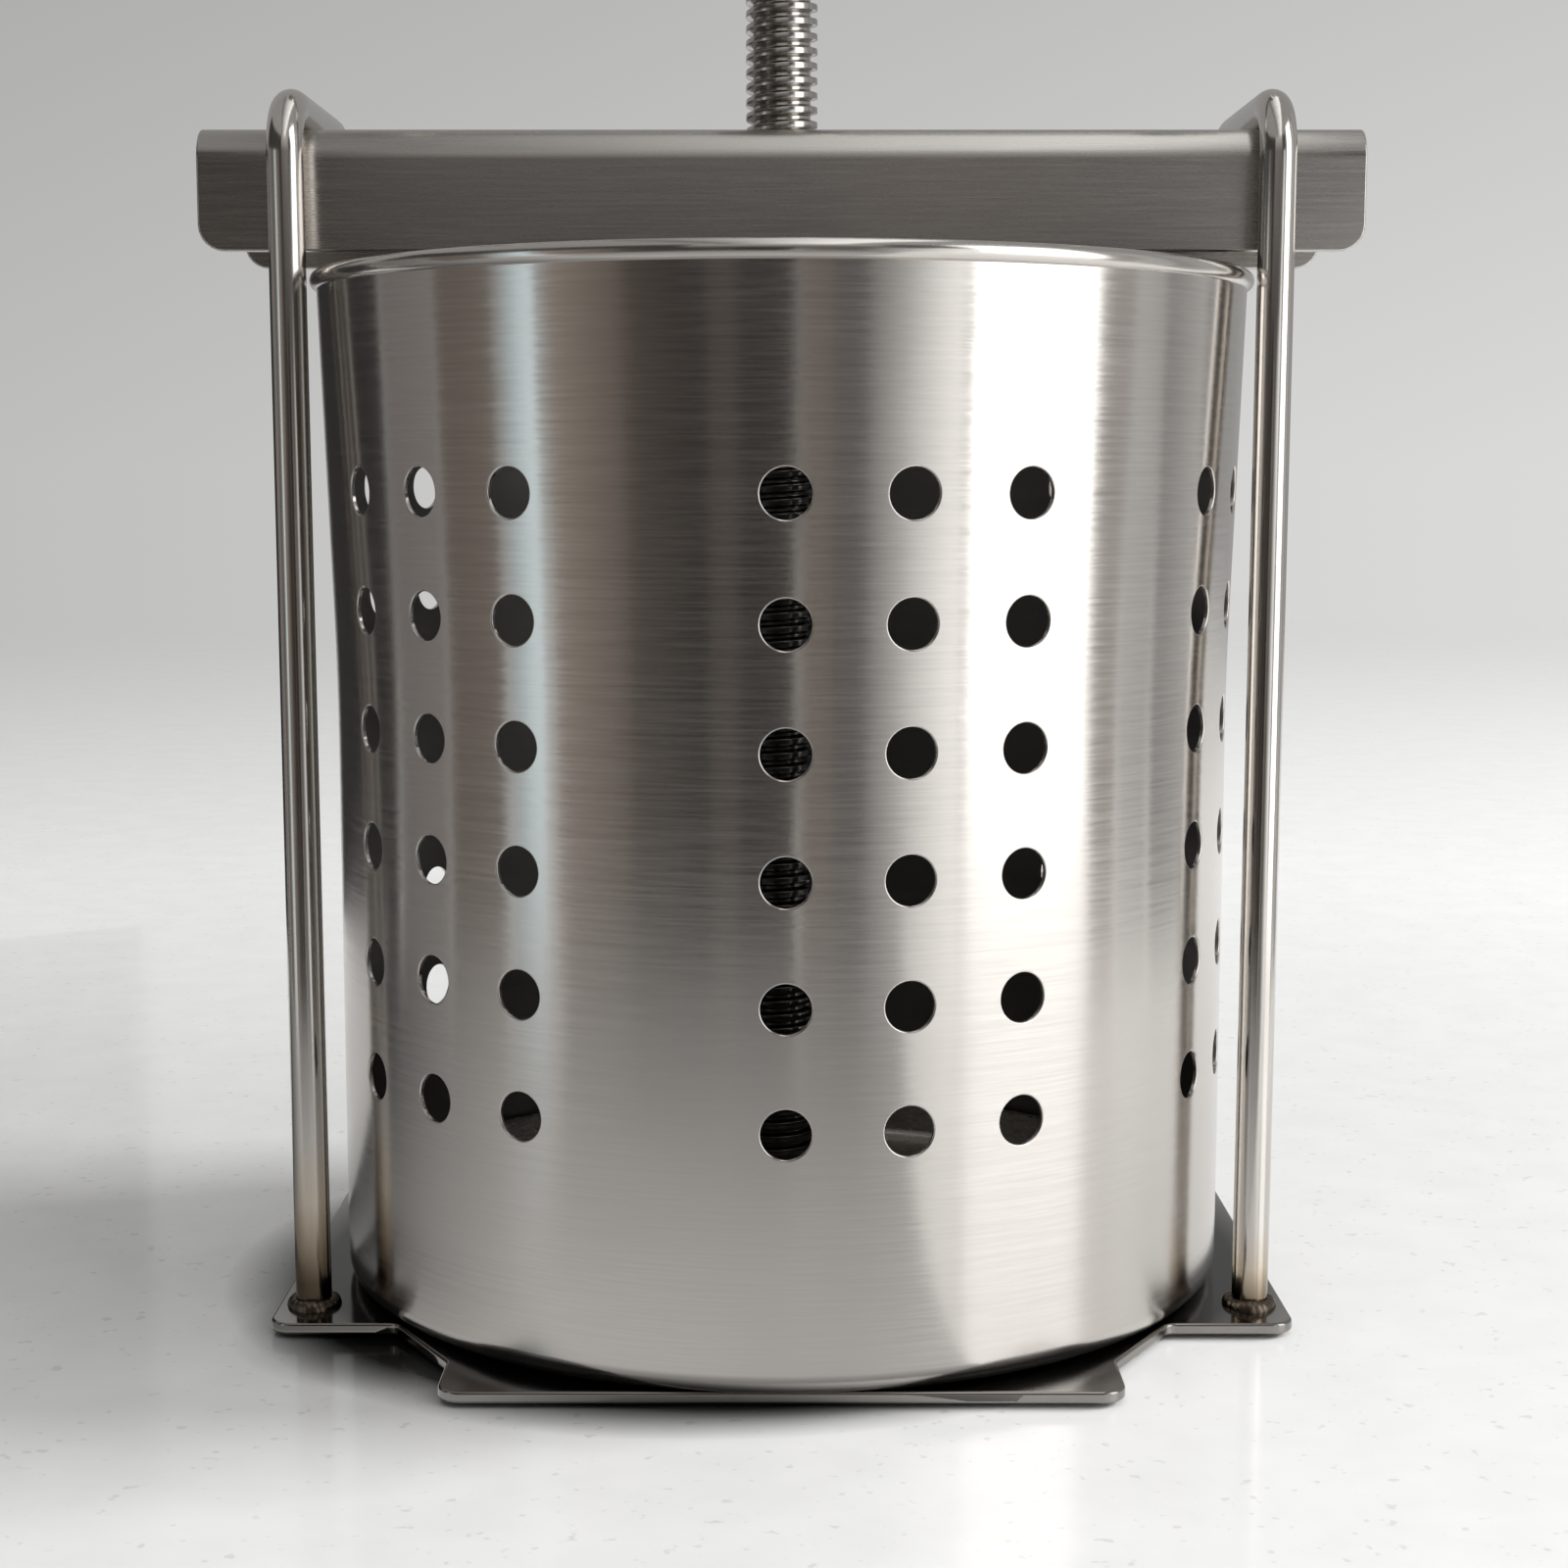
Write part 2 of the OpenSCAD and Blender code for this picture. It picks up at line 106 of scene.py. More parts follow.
def mixed_colour(tree, share, first, second):
    """The mixture of two colours, each a socket or three numbers."""
    colours = [c if isinstance(c, bpy.types.NodeSocket) else (*c, 1) for c in (first, second)]
    made = add_node(tree, "Mix", {0: share, 6: colours[0], 7: colours[1]}, data_type="RGBA")
    return made.outputs[2]


def ranged(tree, value, low, high, to_low, to_high):
    """Carries a value from one range to another, and stops at its ends."""
    limits = {1: low, 2: high, 3: to_low, 4: to_high}
    return add_node(tree, "MapRange", {0: value, **limits}).outputs[0]


def grain(tree, where, scale, detail=3.0, coarse=0.6):
    """Noise drawn out by a different scale along each axis, in features per metre."""
    place = add_node(tree, "Mapping", {"Vector": where, "Scale": scale})
    noise = {"Vector": place.outputs[0], "Scale": 1.0, "Detail": detail, "Roughness": coarse}
    return add_node(tree, "TexNoise", noise).outputs[0]


def new_material(name):
    """A material, its graph and its Principled shader."""
    material = bpy.data.materials.new(name)
    material.use_nodes = True
    return material, material.node_tree, material.node_tree.nodes["Principled BSDF"]


# %% [markdown]
# ## The room
#
# Steel shows nothing but its room, so the room is most of the finish. A pale counter
# and an even pale surround give the soft studio light. Metal sees that surround dimmer
# than the camera does, because the near half of a real room is darker than the wall
# behind the thing that is photographed. That wall is lighter towards the window on the
# right, and the counter fades into it far behind the press, as if there were no edge.
# A room could be modelled instead, but three strengths of one plain light are enough: one
# for the counter, one for the metal and one for the camera.

# %% Surround
world = bpy.data.worlds.new("surround")
world.use_nodes = True
bpy.context.scene.world = world
lighting_light = 0.34
metal_light = 0.36
seen_left, seen_right = 0.52, 0.71
seen_above = 0.76
tree = world.node_tree
paths = add_node(tree, "LightPath")
way = add_node(tree, "SeparateXYZ", {0: add_node(tree, "TexCoord").outputs["Generated"]})
wall = ranged(tree, way.outputs["X"], -0.3, 0.3, seen_left, seen_right)
upwards = ranged(tree, way.outputs["Z"], 0.0, 0.22, 1.0, seen_above)
seen = add_node(tree, "Math", {0: wall, 1: upwards}, operation="MULTIPLY").outputs[0]
unseen = ranged(tree, paths.outputs["Is Glossy Ray"], 0, 1, lighting_light, metal_light)
strength = add_node(tree, "Mix", {0: paths.outputs["Is Camera Ray"], 2: unseen, 3: seen})
surround = tree.nodes["Background"]
surround.inputs["Color"].default_value = (1.0, 0.995, 0.985, 1)
tree.links.new(strength.outputs[0], surround.inputs["Strength"])
print("The wall is seen from", seen_left, "on the left to", seen_right, "on the right")

# %% Counter
counter_half = 8.0
counter_z = -0.0008
counter_mesh = bpy.data.meshes.new("counter")
counter_corners = [(-1, -1), (1, -1), (1, 1), (-1, 1)]
counter_mesh.from_pydata(
    [(x * counter_half, y * counter_half, counter_z) for x, y in counter_corners],
    [], [(0, 1, 2, 3)],
)
counter = bpy.data.objects.new("counter", counter_mesh)
bpy.context.scene.collection.objects.link(counter)
print("The counter is", 2 * counter_half, "m wide, and", -counter_z / MM, "mm under the plate")

# %% [markdown]
# ## The counter's finish
#
# The counter is cast stone: pale clouds, a few grey specks, and a polish that is clearest
# near the press. It lies a hair below the plate, which in life touches it only here and
# there, so a dark line shows under the plate's edge. Hardly any light gets in under the pot,
# and soft lamps alone leave that place too bright. So the finish itself darkens there, in a
# ring before the plate and in a spot by the left wing, on the side away from the window.

# %% The counter's finish
counter_finish, tree, shader = new_material("pale counter")
where = add_node(tree, "TexCoord").outputs["Object"]
clouds = ranged(tree, grain(tree, where, (60, 60, 60), 3.0), 0.35, 0.7, 0, 1)
counter_tone = mixed_colour(tree, clouds, (0.79, 0.79, 0.785), (0.755, 0.755, 0.75))
specks = ranged(tree, grain(tree, where, (420, 420, 420), 1.0), 0.68, 0.76, 0, 0.35)
speckled = mixed_colour(tree, specks, counter_tone, (0.45, 0.44, 0.42))
# The middle of each shade, where it is darkest, where it ends, and the share of light left
pot_shade = ((-0.013, 0, counter_z), 0.0765, 0.090, 0.06)
wing_shade = ((-0.064, -0.038, counter_z), 0.010, 0.031, 0.10)
for middle, darkest_r, end_r, light_left in (pot_shade, wing_shade):
    away = add_node(tree, "VectorMath", {0: where, 1: middle}, operation="DISTANCE")
    light = ranged(tree, away.outputs["Value"], darkest_r, end_r, light_left, 1)
    speckled = mixed_colour(tree, light, (0, 0, 0), speckled)
tree.links.new(speckled, shader.inputs["Base Color"])
shader.inputs["Specular IOR Level"].default_value = 0.25
from_press = add_node(tree, "VectorMath", {0: where}, operation="LENGTH").outputs["Value"]
rough_near, rough_far = 0.13, 0.5
polish = ranged(tree, from_press, 0.15, 0.5, rough_near, rough_far)
tree.links.new(polish, shader.inputs["Roughness"])
clear = add_node(tree, "BsdfTransparent").outputs[0]
fade_start, fade_end = 0.55, 2.2
share_clear = ranged(tree, from_press, fade_start, fade_end, 0, 1)
fade = {0: share_clear, 1: shader.outputs[0], 2: clear}
faded = add_node(tree, "MixShader", fade).outputs[0]
tree.links.new(faded, tree.nodes["Material Output"].inputs["Surface"])
counter_mesh.materials.append(counter_finish)
print("The counter's finish has", len(tree.nodes), "nodes")

# %% [markdown]
# ## Lamps
#
# A tall soft box at the front right makes the broad white band on the pot. One further
# round to the right throws the soft shadow to the left, and a wide one lights the counter
# from above. Each is a plain rectangle that shines evenly, as a soft box does.


# %% Soft boxes
def round_the_pot(azimuth, distance, height):
    """A place at an angle from the front towards the right, in metres."""
    angle = math.radians(azimuth)
    return Vector((math.sin(angle) * distance, -math.cos(angle) * distance, height))


def soft_box(name, place, aim, width, height, glow):
    """A rectangular lamp whose surface has the given brightness, aimed at a point."""
    lamp = bpy.data.lights.new(name, "AREA")
    lamp.shape = "RECTANGLE"
    lamp.size = width
    lamp.size_y = height
    lamp.energy = glow * math.pi * width * height
    box = bpy.data.objects.new(name, lamp)
    box.location = place
    box.rotation_euler = (Vector(aim) - place).to_track_quat("-Z", "Y").to_euler()
    box.visible_camera = False
    bpy.context.scene.collection.objects.link(box)
    print("The", name, "gives", round(lamp.energy, 1), "W")
    return box


key_azimuth = 61.0
key_distance = 1.15
key_height = 0.55
key_place = round_the_pot(key_azimuth, key_distance, key_height)
soft_box("key box", key_place, (0, 0, key_height), width=0.70, height=1.5, glow=2.4)
side_place = round_the_pot(98, 2.3, 1.25)
side_box = soft_box("side box", side_place, (0, 0, 0.1), width=1.0, height=1.0, glow=23.0)
top_place = Vector((0.6, -0.3, 4.0))
top_box = soft_box("top box", top_place, (0, 0, 0), width=6.0, height=6.0, glow=0.75)
side_box.visible_glossy = top_box.visible_glossy = False

# %% [markdown]
# ## Cards
#
# The rest of the light is made as a photographer of metal makes it, with cards that the steel
# reflects and the camera never sees. A real card is lit paper. Here it is a bent sheet that
# glows, evenly or fading from one end to the other, which is simpler and free of noise. It
# glows to one side only, so that nothing behind a card reflects it.


# %% Making a card
def arc(first_azimuth, last_azimuth, distance, height, steps=24):
    """Points on an arc round the pot."""
    span = last_azimuth - first_azimuth
    azimuths = [first_azimuth + span * i / steps for i in range(steps + 1)]
    return [round_the_pot(azimuth, distance, height) for azimuth in azimuths]


def card_glow(name, first_glow, last_glow, tint, across):
    """A light that fades along a card or across it, and shines to one side."""
    material, tree, shader = new_material(name)
    places = add_node(tree, "SeparateXYZ", {0: add_node(tree, "TexCoord").outputs["UV"]})
    glow = ranged(tree, places.outputs[1 if across else 0], 0, 1, first_glow, last_glow)
    light = add_node(tree, "Emission", {"Color": (*tint, 1), "Strength": glow}).outputs[0]
    clear = add_node(tree, "BsdfTransparent").outputs[0]
    back = add_node(tree, "NewGeometry").outputs["Backfacing"]
    one_sided = add_node(tree, "MixShader", {0: back, 1: light, 2: clear}).outputs[0]
    tree.links.new(one_sided, tree.nodes["Material Output"].inputs["Surface"])
    return material


def card(name, one_edge, other_edge, first_glow, last_glow, tint=(1, 1, 1), across=False):
    """A card between two edges, with a glow that fades along them or from one to the other."""
    points = [point for pair in zip(one_edge, other_edge) for point in pair]
    steps = len(one_edge) - 1
    faces = [(2 * i, 2 * i + 2, 2 * i + 3, 2 * i + 1) for i in range(steps)]
    mesh = bpy.data.meshes.new(name)
    mesh.from_pydata(points, [], faces)
    layer = mesh.uv_layers.new(name="card")
    for loop in mesh.loops:
        layer.data[loop.index].uv = (loop.vertex_index // 2 / steps, loop.vertex_index % 2)
    mesh.materials.append(card_glow(name, first_glow, last_glow, tint, across))
    made = bpy.data.objects.new(name, mesh)
    made.visible_camera = made.visible_diffuse = made.visible_shadow = False
    bpy.context.scene.collection.objects.link(made)
    print("The", name, "fades from", first_glow, "to", last_glow)


# %% [markdown]
# ### Cards that stand round the press
#
# Each is a strip of a round wall, between two angles from the front towards the right. Dark
# ones stand round the camera, for the deep middle of the pot; one fades up to the lamp; a
# narrow pale one on the left gives the thin cool band; and pairs at the sides edge the pot.

# %% Standing cards
card_distance = 0.42
card_top = 0.45


def standing_card(name, first, last, first_glow, last_glow, tint=(1, 1, 1), high=card_top):
    """A card that stands bent round the press, between two angles."""
    edges = [arc(first, last, card_distance, z) for z in (high, 0)]
    card(name, *edges, first_glow, last_glow, tint)


cool, faint, warm = (0.80, 0.94, 1.0), (1, 0.94, 0.92), (1, 0.86, 0.76)
# From the left to the right: first and last angle, and the glow at each
standing_card("far left card", -150, -103, 0.03, 0.04, faint, high=0.25)
standing_card("left card", -101.5, -83, 0.20, 0.25, faint)
standing_card("left shade", -82, -65, 0.15, 0.19, warm)
standing_card("cool card", -62.5, -54.0, 0.5, 1.25, cool)
standing_card("warm card", -51, -33, 0.31, 0.14, warm)
standing_card("dark card", -33, -15.5, 0.09, 0.03, warm)
standing_card("seam card", -15.5, -9, 0.08, 0.08, warm)
standing_card("lens card", -9, 3, 0.03, 0.035, warm)
standing_card("ledge card", 4, 11, 0.21, 0.18, warm)
standing_card("dim card", 11, 18, 0.12, 0.14, faint)
standing_card("fading card", 18, 27, 0.22, 0.66)
standing_card("bright card", 27, 39, 0.72, 1.40)
standing_card("right shade", 75, 83, 0.40, 0.42, faint)
standing_card("right card", 84, 95, 0.60, 0.50)
standing_card("far right card", 96, 114, 0.30, 0.55)

# %% [markdown]
# ### Cards for the crossbar, the screw and the foot of the pot
#
# The crossbar and the screw stand above the camera, so they reflect what is higher up than
# what the pot reflects. A card just inside the others greys the crossbar's face, dark ones to
# both sides of it deepen the thread, and one overhead, brighter to the right, draws the line
# along the crossbar's upper bend. Cards that lie on the counter tone down what the foot of
# the pot reflects of it, most of all on the left.

# %% Upper cards
bar_view_z = 0.215
screw_view_z = 0.265
upper_r = 0.41
upper_right_r = 0.405
upper_edges = [arc(-20, 31, upper_r, z) for z in (card_top, bar_view_z)]
card("upper card", *upper_edges, 0.60, 0.07, faint, across=True)
upper_left_edges = [arc(-102, -20.5, upper_r, z) for z in (card_top, screw_view_z)]
card("upper left card", *upper_left_edges, 0.05, 0.05, faint)
upper_right_edges = [arc(22, 41, upper_right_r, z) for z in (card_top, screw_view_z)]
card("upper right card", *upper_right_edges, 0.10, 0.05, faint)

# %% Cards on the counter, and the card overhead
lying_z = 0.0005
lying_r = 0.41
before_plate_r = 0.093
under_pot_r = 0.082
far_edge, near_edge, inner_edge = (
    arc(-48, 26, r, lying_z) for r in (lying_r, before_plate_r, under_pot_r)
)
card("counter card", far_edge, near_edge, 0.26, 0.62, across=True)
card("crevice card", near_edge, inner_edge, 0.62, 0.25, across=True)
left_edges = [arc(-110, -48, r, lying_z) for r in (lying_r, under_pot_r)]
card("left counter card", *left_edges, 0.04, 0.56)
foot_z = 0.0008
foot_r = 0.125
left_foot_edges = [arc(-90, -38, r, foot_z) for r in (foot_r, under_pot_r)]
card("left foot card", *left_foot_edges, 0.02, 0.60)
ceiling_z = 0.8
ceiling_half = 0.2
ceiling_back, ceiling_front = 0.3, -0.9
back_edge, front_edge = (
    [Vector((x, y, ceiling_z)) for x in (-ceiling_half, ceiling_half)]
    for y in (ceiling_back, ceiling_front)
)
card("ceiling card", back_edge, front_edge, 0.1, 1.6)

# %% [markdown]
# ## Brushed, drawn and turned steel
#
# Every finish here is the same metal with other scratches. The scratches are noise that is
# drawn out along the way the tool went, and they change the colour, the roughness and, very
# slightly, the height. Where the scratches all run one way the highlight is pulled out
# across them, which the shader does with anisotropy along a tangent.
# Image textures could do this too, but noise in the piece's own space has no seams.
#
# Some marks depend on the place instead. The heat of a weld leaves brown and, further up,
# straw on the metal, and fades out with height. The metal is also darkened by its place,
# as painted shade, where little light reaches it.

# %% Colours of steel
steel_colour = (0.64, 0.61, 0.575)
straw_colour = (0.50, 0.38, 0.22)
brown_colour = (0.08, 0.055, 0.04)
print("Steel reflects", steel_colour)


def darker(colour, share):
    """A colour at a share of its strength."""
    return tuple(c * share for c in colour)


# %% Marks that depend on the place
def heated(tree, where, clouds, base, heat):
    """Metal with the colours of a weld, which fade out between two heights in millimetres."""
    wander = 6 * MM
    height = add_node(tree, "SeparateXYZ", {0: where}).outputs["Z"]
    uneven = add_node(tree, "Math", {0: clouds, 1: wander, 2: height}, operation="MULTIPLY_ADD")
    low, high = (z * MM + wander / 2 for z in heat)
    straw = ranged(tree, uneven.outputs[0], low, high, 0.85, 0)
    base = mixed_colour(tree, straw, base, straw_colour)
    brown = ranged(tree, uneven.outputs[0], low, (low + high) / 2, 0.9, 0)
    return mixed_colour(tree, brown, base, brown_colour)


def painted_shade_by_place(tree, where, base, colour, dull):
    """Metal darkened as painted shade up to one height, or distance from the middle, and unshaded from
    another.
    """
    measure, near, far, share = dull
    parts = add_node(tree, "SeparateXYZ", {0: where}).outputs
    place = parts["Z"]
    if measure == "reach":
        flat = add_node(tree, "CombineXYZ", {0: parts["X"], 1: parts["Y"]}).outputs[0]
        place = add_node(tree, "VectorMath", {0: flat}, operation="LENGTH").outputs["Value"]
    unshaded = ranged(tree, place, near * MM, far * MM, 0, 1)
    return mixed_colour(tree, unshaded, darker(colour, share), base)


def swayed(tree, where, scratches, along, normal, sway):
    """A normal that leans a little to and fro along the scratches, from one to the next."""
    streaks = grain(tree, where, tuple(s * 0.7 + 90 for s in scratches), 2.0, 0.6)
    lean = ranged(tree, streaks, 0.3, 0.7, -sway, sway)
    leaned = add_node(tree, "VectorMath", {0: along, "Scale": lean}, operation="SCALE")
    both = add_node(tree, "VectorMath", {0: normal, 1: leaned.outputs[0]}, operation="ADD")
    return add_node(tree, "VectorMath", {0: both.outputs[0]}, operation="NORMALIZE").outputs[0]


# %% Steel
def steel(
    name, scratches, rough, colour=steel_colour, contrast=0.05, pull=0.0, axis="Z", turn=0.25,
    sway=0.0, heat=None, dull=None,
):
    """Steel with scratches that run along the axis where their scale is smallest.

    pull draws the highlight out across the scratches round an axis, sway makes it ragged,
    heat marks the metal by its place, and dull darkens it by its place as painted shade.
    """
    material, tree, shader = new_material(name)
    where = add_node(tree, "TexCoord").outputs["Object"]
    fine = grain(tree, where, scratches, 2.0, 0.7)
    clouds = grain(tree, where, (22, 22, 30), 2.0, 0.5)
    lines = ranged(tree, fine, 0.35, 0.65, 0, 1)
    base = mixed_colour(tree, lines, darker(colour, 1 - contrast), darker(colour, 1 + contrast))
    hazy = ranged(tree, clouds, 0.35, 0.75, 0, 0.5)
    base = mixed_colour(tree, hazy, base, darker(colour, 0.93))
    if heat:
        base = heated(tree, where, clouds, base, heat)
    # dull darkens the metal by its place as painted shade
    if dull:
        base = painted_shade_by_place(tree, where, base, colour, dull)
    tree.links.new(base, shader.inputs["Base Color"])
    scratched = ranged(tree, fine, 0.3, 0.7, rough * 0.85, rough * 1.15)
    smudged = ranged(tree, clouds, 0.35, 0.7, -0.015, 0.02)
    rough_sum = add_node(tree, "Math", {0: scratched, 1: smudged}, operation="ADD")
    tree.links.new(rough_sum.outputs[0], shader.inputs["Roughness"])
    shader.inputs["Metallic"].default_value = 1.0
    relief = add_node(tree, "Bump", {"Strength": 0.25, "Distance": 0.000004, "Height": fine})
    normal = relief.outputs[0]
    if pull:
        along = add_node(tree, "Tangent", direction_type="RADIAL", axis=axis).outputs[0]
        tree.links.new(along, shader.inputs["Tangent"])
        shader.inputs["Anisotropic"].default_value = pull
        shader.inputs["Anisotropic Rotation"].default_value = turn
    if sway:
        normal = swayed(tree, where, scratches, along, normal, sway)
    tree.links.new(normal, shader.inputs["Normal"])
    print("The", name, "has", len(tree.nodes), "nodes")
    return material


# %% [markdown]
# ## Making a surface row by row
#
# Turned, folded and drawn pieces are all rows of points joined by strips. Each row brings
# its true normals, because steel shows the smallest error of a normal as a wobble in the
# reflection. Where two surfaces meet in a crease, a row is simply given twice, with the
# normals of each side. The points are joined again when the mesh is made, so it is closed.


# %% The surface maker
class Skin:
    """Points, normals and faces of one piece, in millimetres, while it is being made."""

    def __init__(self):
        self.points = []
        self.normals = []
        self.faces = []

    def row(self, spots):
        """Adds a row of pairs of point and normal, and returns their numbers."""
        first = len(self.points)
        for point, normal in spots:
            self.points.append(Vector(point))
            self.normals.append(Vector(normal).normalized())
        return list(range(first, len(self.points)))

    def strip(self, one, other, closed=True):
        """Joins two rows of the same length with faces."""
        count = len(one)
        for i in range(count if closed else count - 1):
            j = (i + 1) % count
            self.faces.append((one[i], one[j], other[j], other[i]))

    def strips(self, rows, closed=True):
        """Joins each row to the next."""
        for one, other in zip(rows, rows[1:]):
            self.strip(one, other, closed)

    def cap(self, row):
        """Closes a flat row with one face."""
        self.faces.append(tuple(row))


# %% From a skin to a piece
def piece(name, skin, finish, body, slot, *stands_for):
    """Makes the mesh of a skin, with its faces outwards, as a piece that rides on a body."""
    found = {}
    number = []
    for point in skin.points:
        number.append(found.setdefault(tuple(round(c, 4) for c in point), len(found)))
    faces = []
    corner_normals = []
    for face in skin.faces:
        kept = [c for i, c in enumerate(face) if number[c] != number[face[i - 1]]]
        if len(kept) < 3:
            continue
        a, b, c = (skin.points[kept[i]] for i in (0, len(kept) // 3, 2 * len(kept) // 3))
        outwards = sum((skin.normals[c] for c in kept), Vector())
        if (b - a).cross(c - a).dot(outwards) < 0:
            kept.reverse()
        faces.append([number[c] for c in kept])
        corner_normals += [skin.normals[c] for c in kept]
    mesh = bpy.data.meshes.new(name)
    mesh.from_pydata([Vector(point) * MM for point in found], [], faces)
    mesh.polygons.foreach_set("use_smooth", [True] * len(faces))
    mesh.normals_split_custom_set(corner_normals)
    mesh.materials.append(finish)
    made = bpy.data.objects.new(name, mesh)
    bpy.context.scene.collection.objects.link(made)
    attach(made, body)
    if stands_for:
        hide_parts(*stands_for)
    print(name, "has", len(faces), "faces")
    return made


# %% [markdown]
# ## Outlines with rounded corners
#
# A profile to be turned and an outline to be cut are both a few corners, each with its own
# radius. Going round with the metal on the left, the normal is always on the right.


# %% Rounded outline
def rounded(corners, closed=True, steps=6):
    """Points and normals of an outline given as corners (x, y, radius), metal on its left."""
    spots = []
    count = len(corners)
    for i, (x, y, radius) in enumerate(corners):
        here = Vector((x, y))
        before = Vector(corners[i - 1][:2])
        after = Vector(corners[(i + 1) % count][:2])
        came = (here - before).normalized()
        goes = (after - here).normalized()
        if not closed and i == 0:
            came = goes
        if not closed and i == count - 1:
            goes = came
        bend = came.angle_signed(goes) * -1
        if radius == 0 or abs(bend) < 1e-6:
            for way in (came, goes):
                spots.append((here, Vector((way.y, -way.x))))
            continue
        start = here - came * radius * math.tan(abs(bend) / 2)
        side = 1 if bend > 0 else -1
        middle = start + Vector((-came.y, came.x)) * radius * side
        for k in range(steps + 1):
            angle = bend * k / steps
            out = Vector((came.y, -came.x))
            turned = Vector((
                out.x * math.cos(angle) - out.y * math.sin(angle),
                out.x * math.sin(angle) + out.y * math.cos(angle),
            ))
            spots.append((middle + turned * radius * side, turned))
    return spots


# %% Turning a profile
def turn_round(skin, profile, turns):
    """Turns a profile of (radius, height) spots about the Z axis."""
    rows = []
    for (r, z), (nr, nz) in profile:
        spots = []
        for a in turns:
            c, s = math.cos(a), math.sin(a)
            spots.append(((r * c, r * s, z), (nr * c, nr * s, nz)))
        rows.append(skin.row(spots))
    skin.strips(rows)
    return rows


# %% [markdown]
# ## The pot
#
# The real pot is drawn from a disc of sheet in one stroke, its mouth is flared a little, its
# edge is rolled outwards into a bead, and the drain holes are punched from outside. A
# boolean could cut the holes, but it would leave ragged shading on a surface this shiny.
# So the wall is a grid with a cell for each hole, and inside a cell the grid runs from a
# square to a circle. The punch leaves a small rounded edge, which catches the light.
# The outside is brushed round and round after that. The inside stays rougher, as drawing
# leaves it, and darker as painted shade, so its faces take a second finish, by the way that they look.

# %% Sizes of the pot
pot_low, pot_high = corners_of("press_pot")
sheet_t = 0.8
bead_r = 1.6
flare = 2.3
flare_start = pot_low.z + 110
corner_r = 4.0
bead_mid_r = pot_high.x - bead_r
rim_r = bead_mid_r + sheet_t / 2
pot_r = rim_r - flare
bead_z = pot_high.z - bead_r
wall_top = pot_high.z - 2 * bead_r
hole_r = 4.0
hole_low = pot_low.z + 42.6
hole_pitch = 19.8
hole_rows = 6
hole_groups = 6
hole_columns = 3
column_step = math.radians(14)
group_turn = math.radians(14.5 - 90)
group_step = 2 * math.pi / hole_groups
punched_edge = 0.28
inner_edge = 0.15
print("The pot is", 2 * pot_r, "mm across and", round(pot_high.z - pot_low.z, 1), "mm high")


# %% The wall
def wall_radius(z):
    """Outer radius of the wall: straight, then a soft bend into the flare."""
    slope = flare / (wall_top - flare_start)
    soft = 12
    past = z - flare_start
    if past <= -soft:
        return pot_r
    if past < soft:
        return pot_r + slope * (past + soft) ** 2 / (4 * soft)
    return min(pot_r + slope * past, rim_r)


def wall_lean(z):
    """How fast the wall's radius grows with height."""
    step = 0.5
    return (wall_radius(z + step) - wall_radius(z - step)) / (2 * step)


def wall_spot(turn, z, depth):
    """A spot on the wall's outside, or on its inside when depth is the sheet's thickness."""
    r = wall_radius(z) - depth
    face = 1 if depth == 0 else -1
    c, s = math.cos(turn), math.sin(turn)
    return (r * c, r * s, z), (face * c, face * s, -face * wall_lean(z))


# %% [markdown]
# A punched hole is made the same way in any sheet. The rows run from the cell's outline on
# one face, over the rounded edge, through the sheet, and back out on the other face.


# %% Punching a hole
def punch(skin, outer, inner, surface, radius, edge, back_edge, thickness):
    """Joins the outlines of a cell on both faces of a sheet through a hole with soft edges.

    surface(a, b, depth) gives the point, the outward normal and the two directions a and b.
    """
    count = len(outer)
    angles = [math.radians(-45 + 360 * i / count) for i in range(count)]
    along, up = surface(0, 0, 0)[2:]

    def ring(reach, depth, tilt, face):
        spots = []
        for angle in angles:
            c, s = math.cos(angle), math.sin(angle)
            point, out = surface(reach * c, reach * s, depth)[:2]
            to_middle = -(along * c + up * s)
            spots.append((point, out * face * math.cos(tilt) + to_middle * math.sin(tilt)))
        return skin.row(spots)

    def between(cell, reach, share, depth, face):
        middle = surface(0, 0, depth)[0]
        spots = []
        for number, angle in zip(cell, angles):
            offset = skin.points[number] - middle
            a = offset.dot(along) * (1 - share) + reach * math.cos(angle) * share
            b = offset.dot(up) * (1 - share) + reach * math.sin(angle) * share
            point, out = surface(a, b, depth)[:2]
            spots.append((point, out * face))
        return skin.row(spots)

    tilts = [math.radians(t) for t in (0, 30, 60, 90)]
    shares = [0.4, 0.75]
    rows = [outer]
    rows += [between(outer, radius + edge, share, 0, 1) for share in shares]
    for tilt in tilts:
        rows.append(ring(radius + edge * (1 - math.sin(tilt)), edge * (1 - math.cos(tilt)), tilt, 1))
    for tilt in reversed(tilts):
        reach = radius + back_edge * (1 - math.sin(tilt))
        rows.append(ring(reach, thickness - back_edge * (1 - math.cos(tilt)), tilt, -1))
    rows += [
        between(inner, radius + back_edge, share, thickness, -1) for share in reversed(shares)
    ]
    rows.append(inner)
    skin.strips(rows)


# %% [markdown]
# The grid's columns stand close together where the holes are and wider apart between the
# groups. Both faces of the sheet are the same grid, one at the sheet's thickness inside.

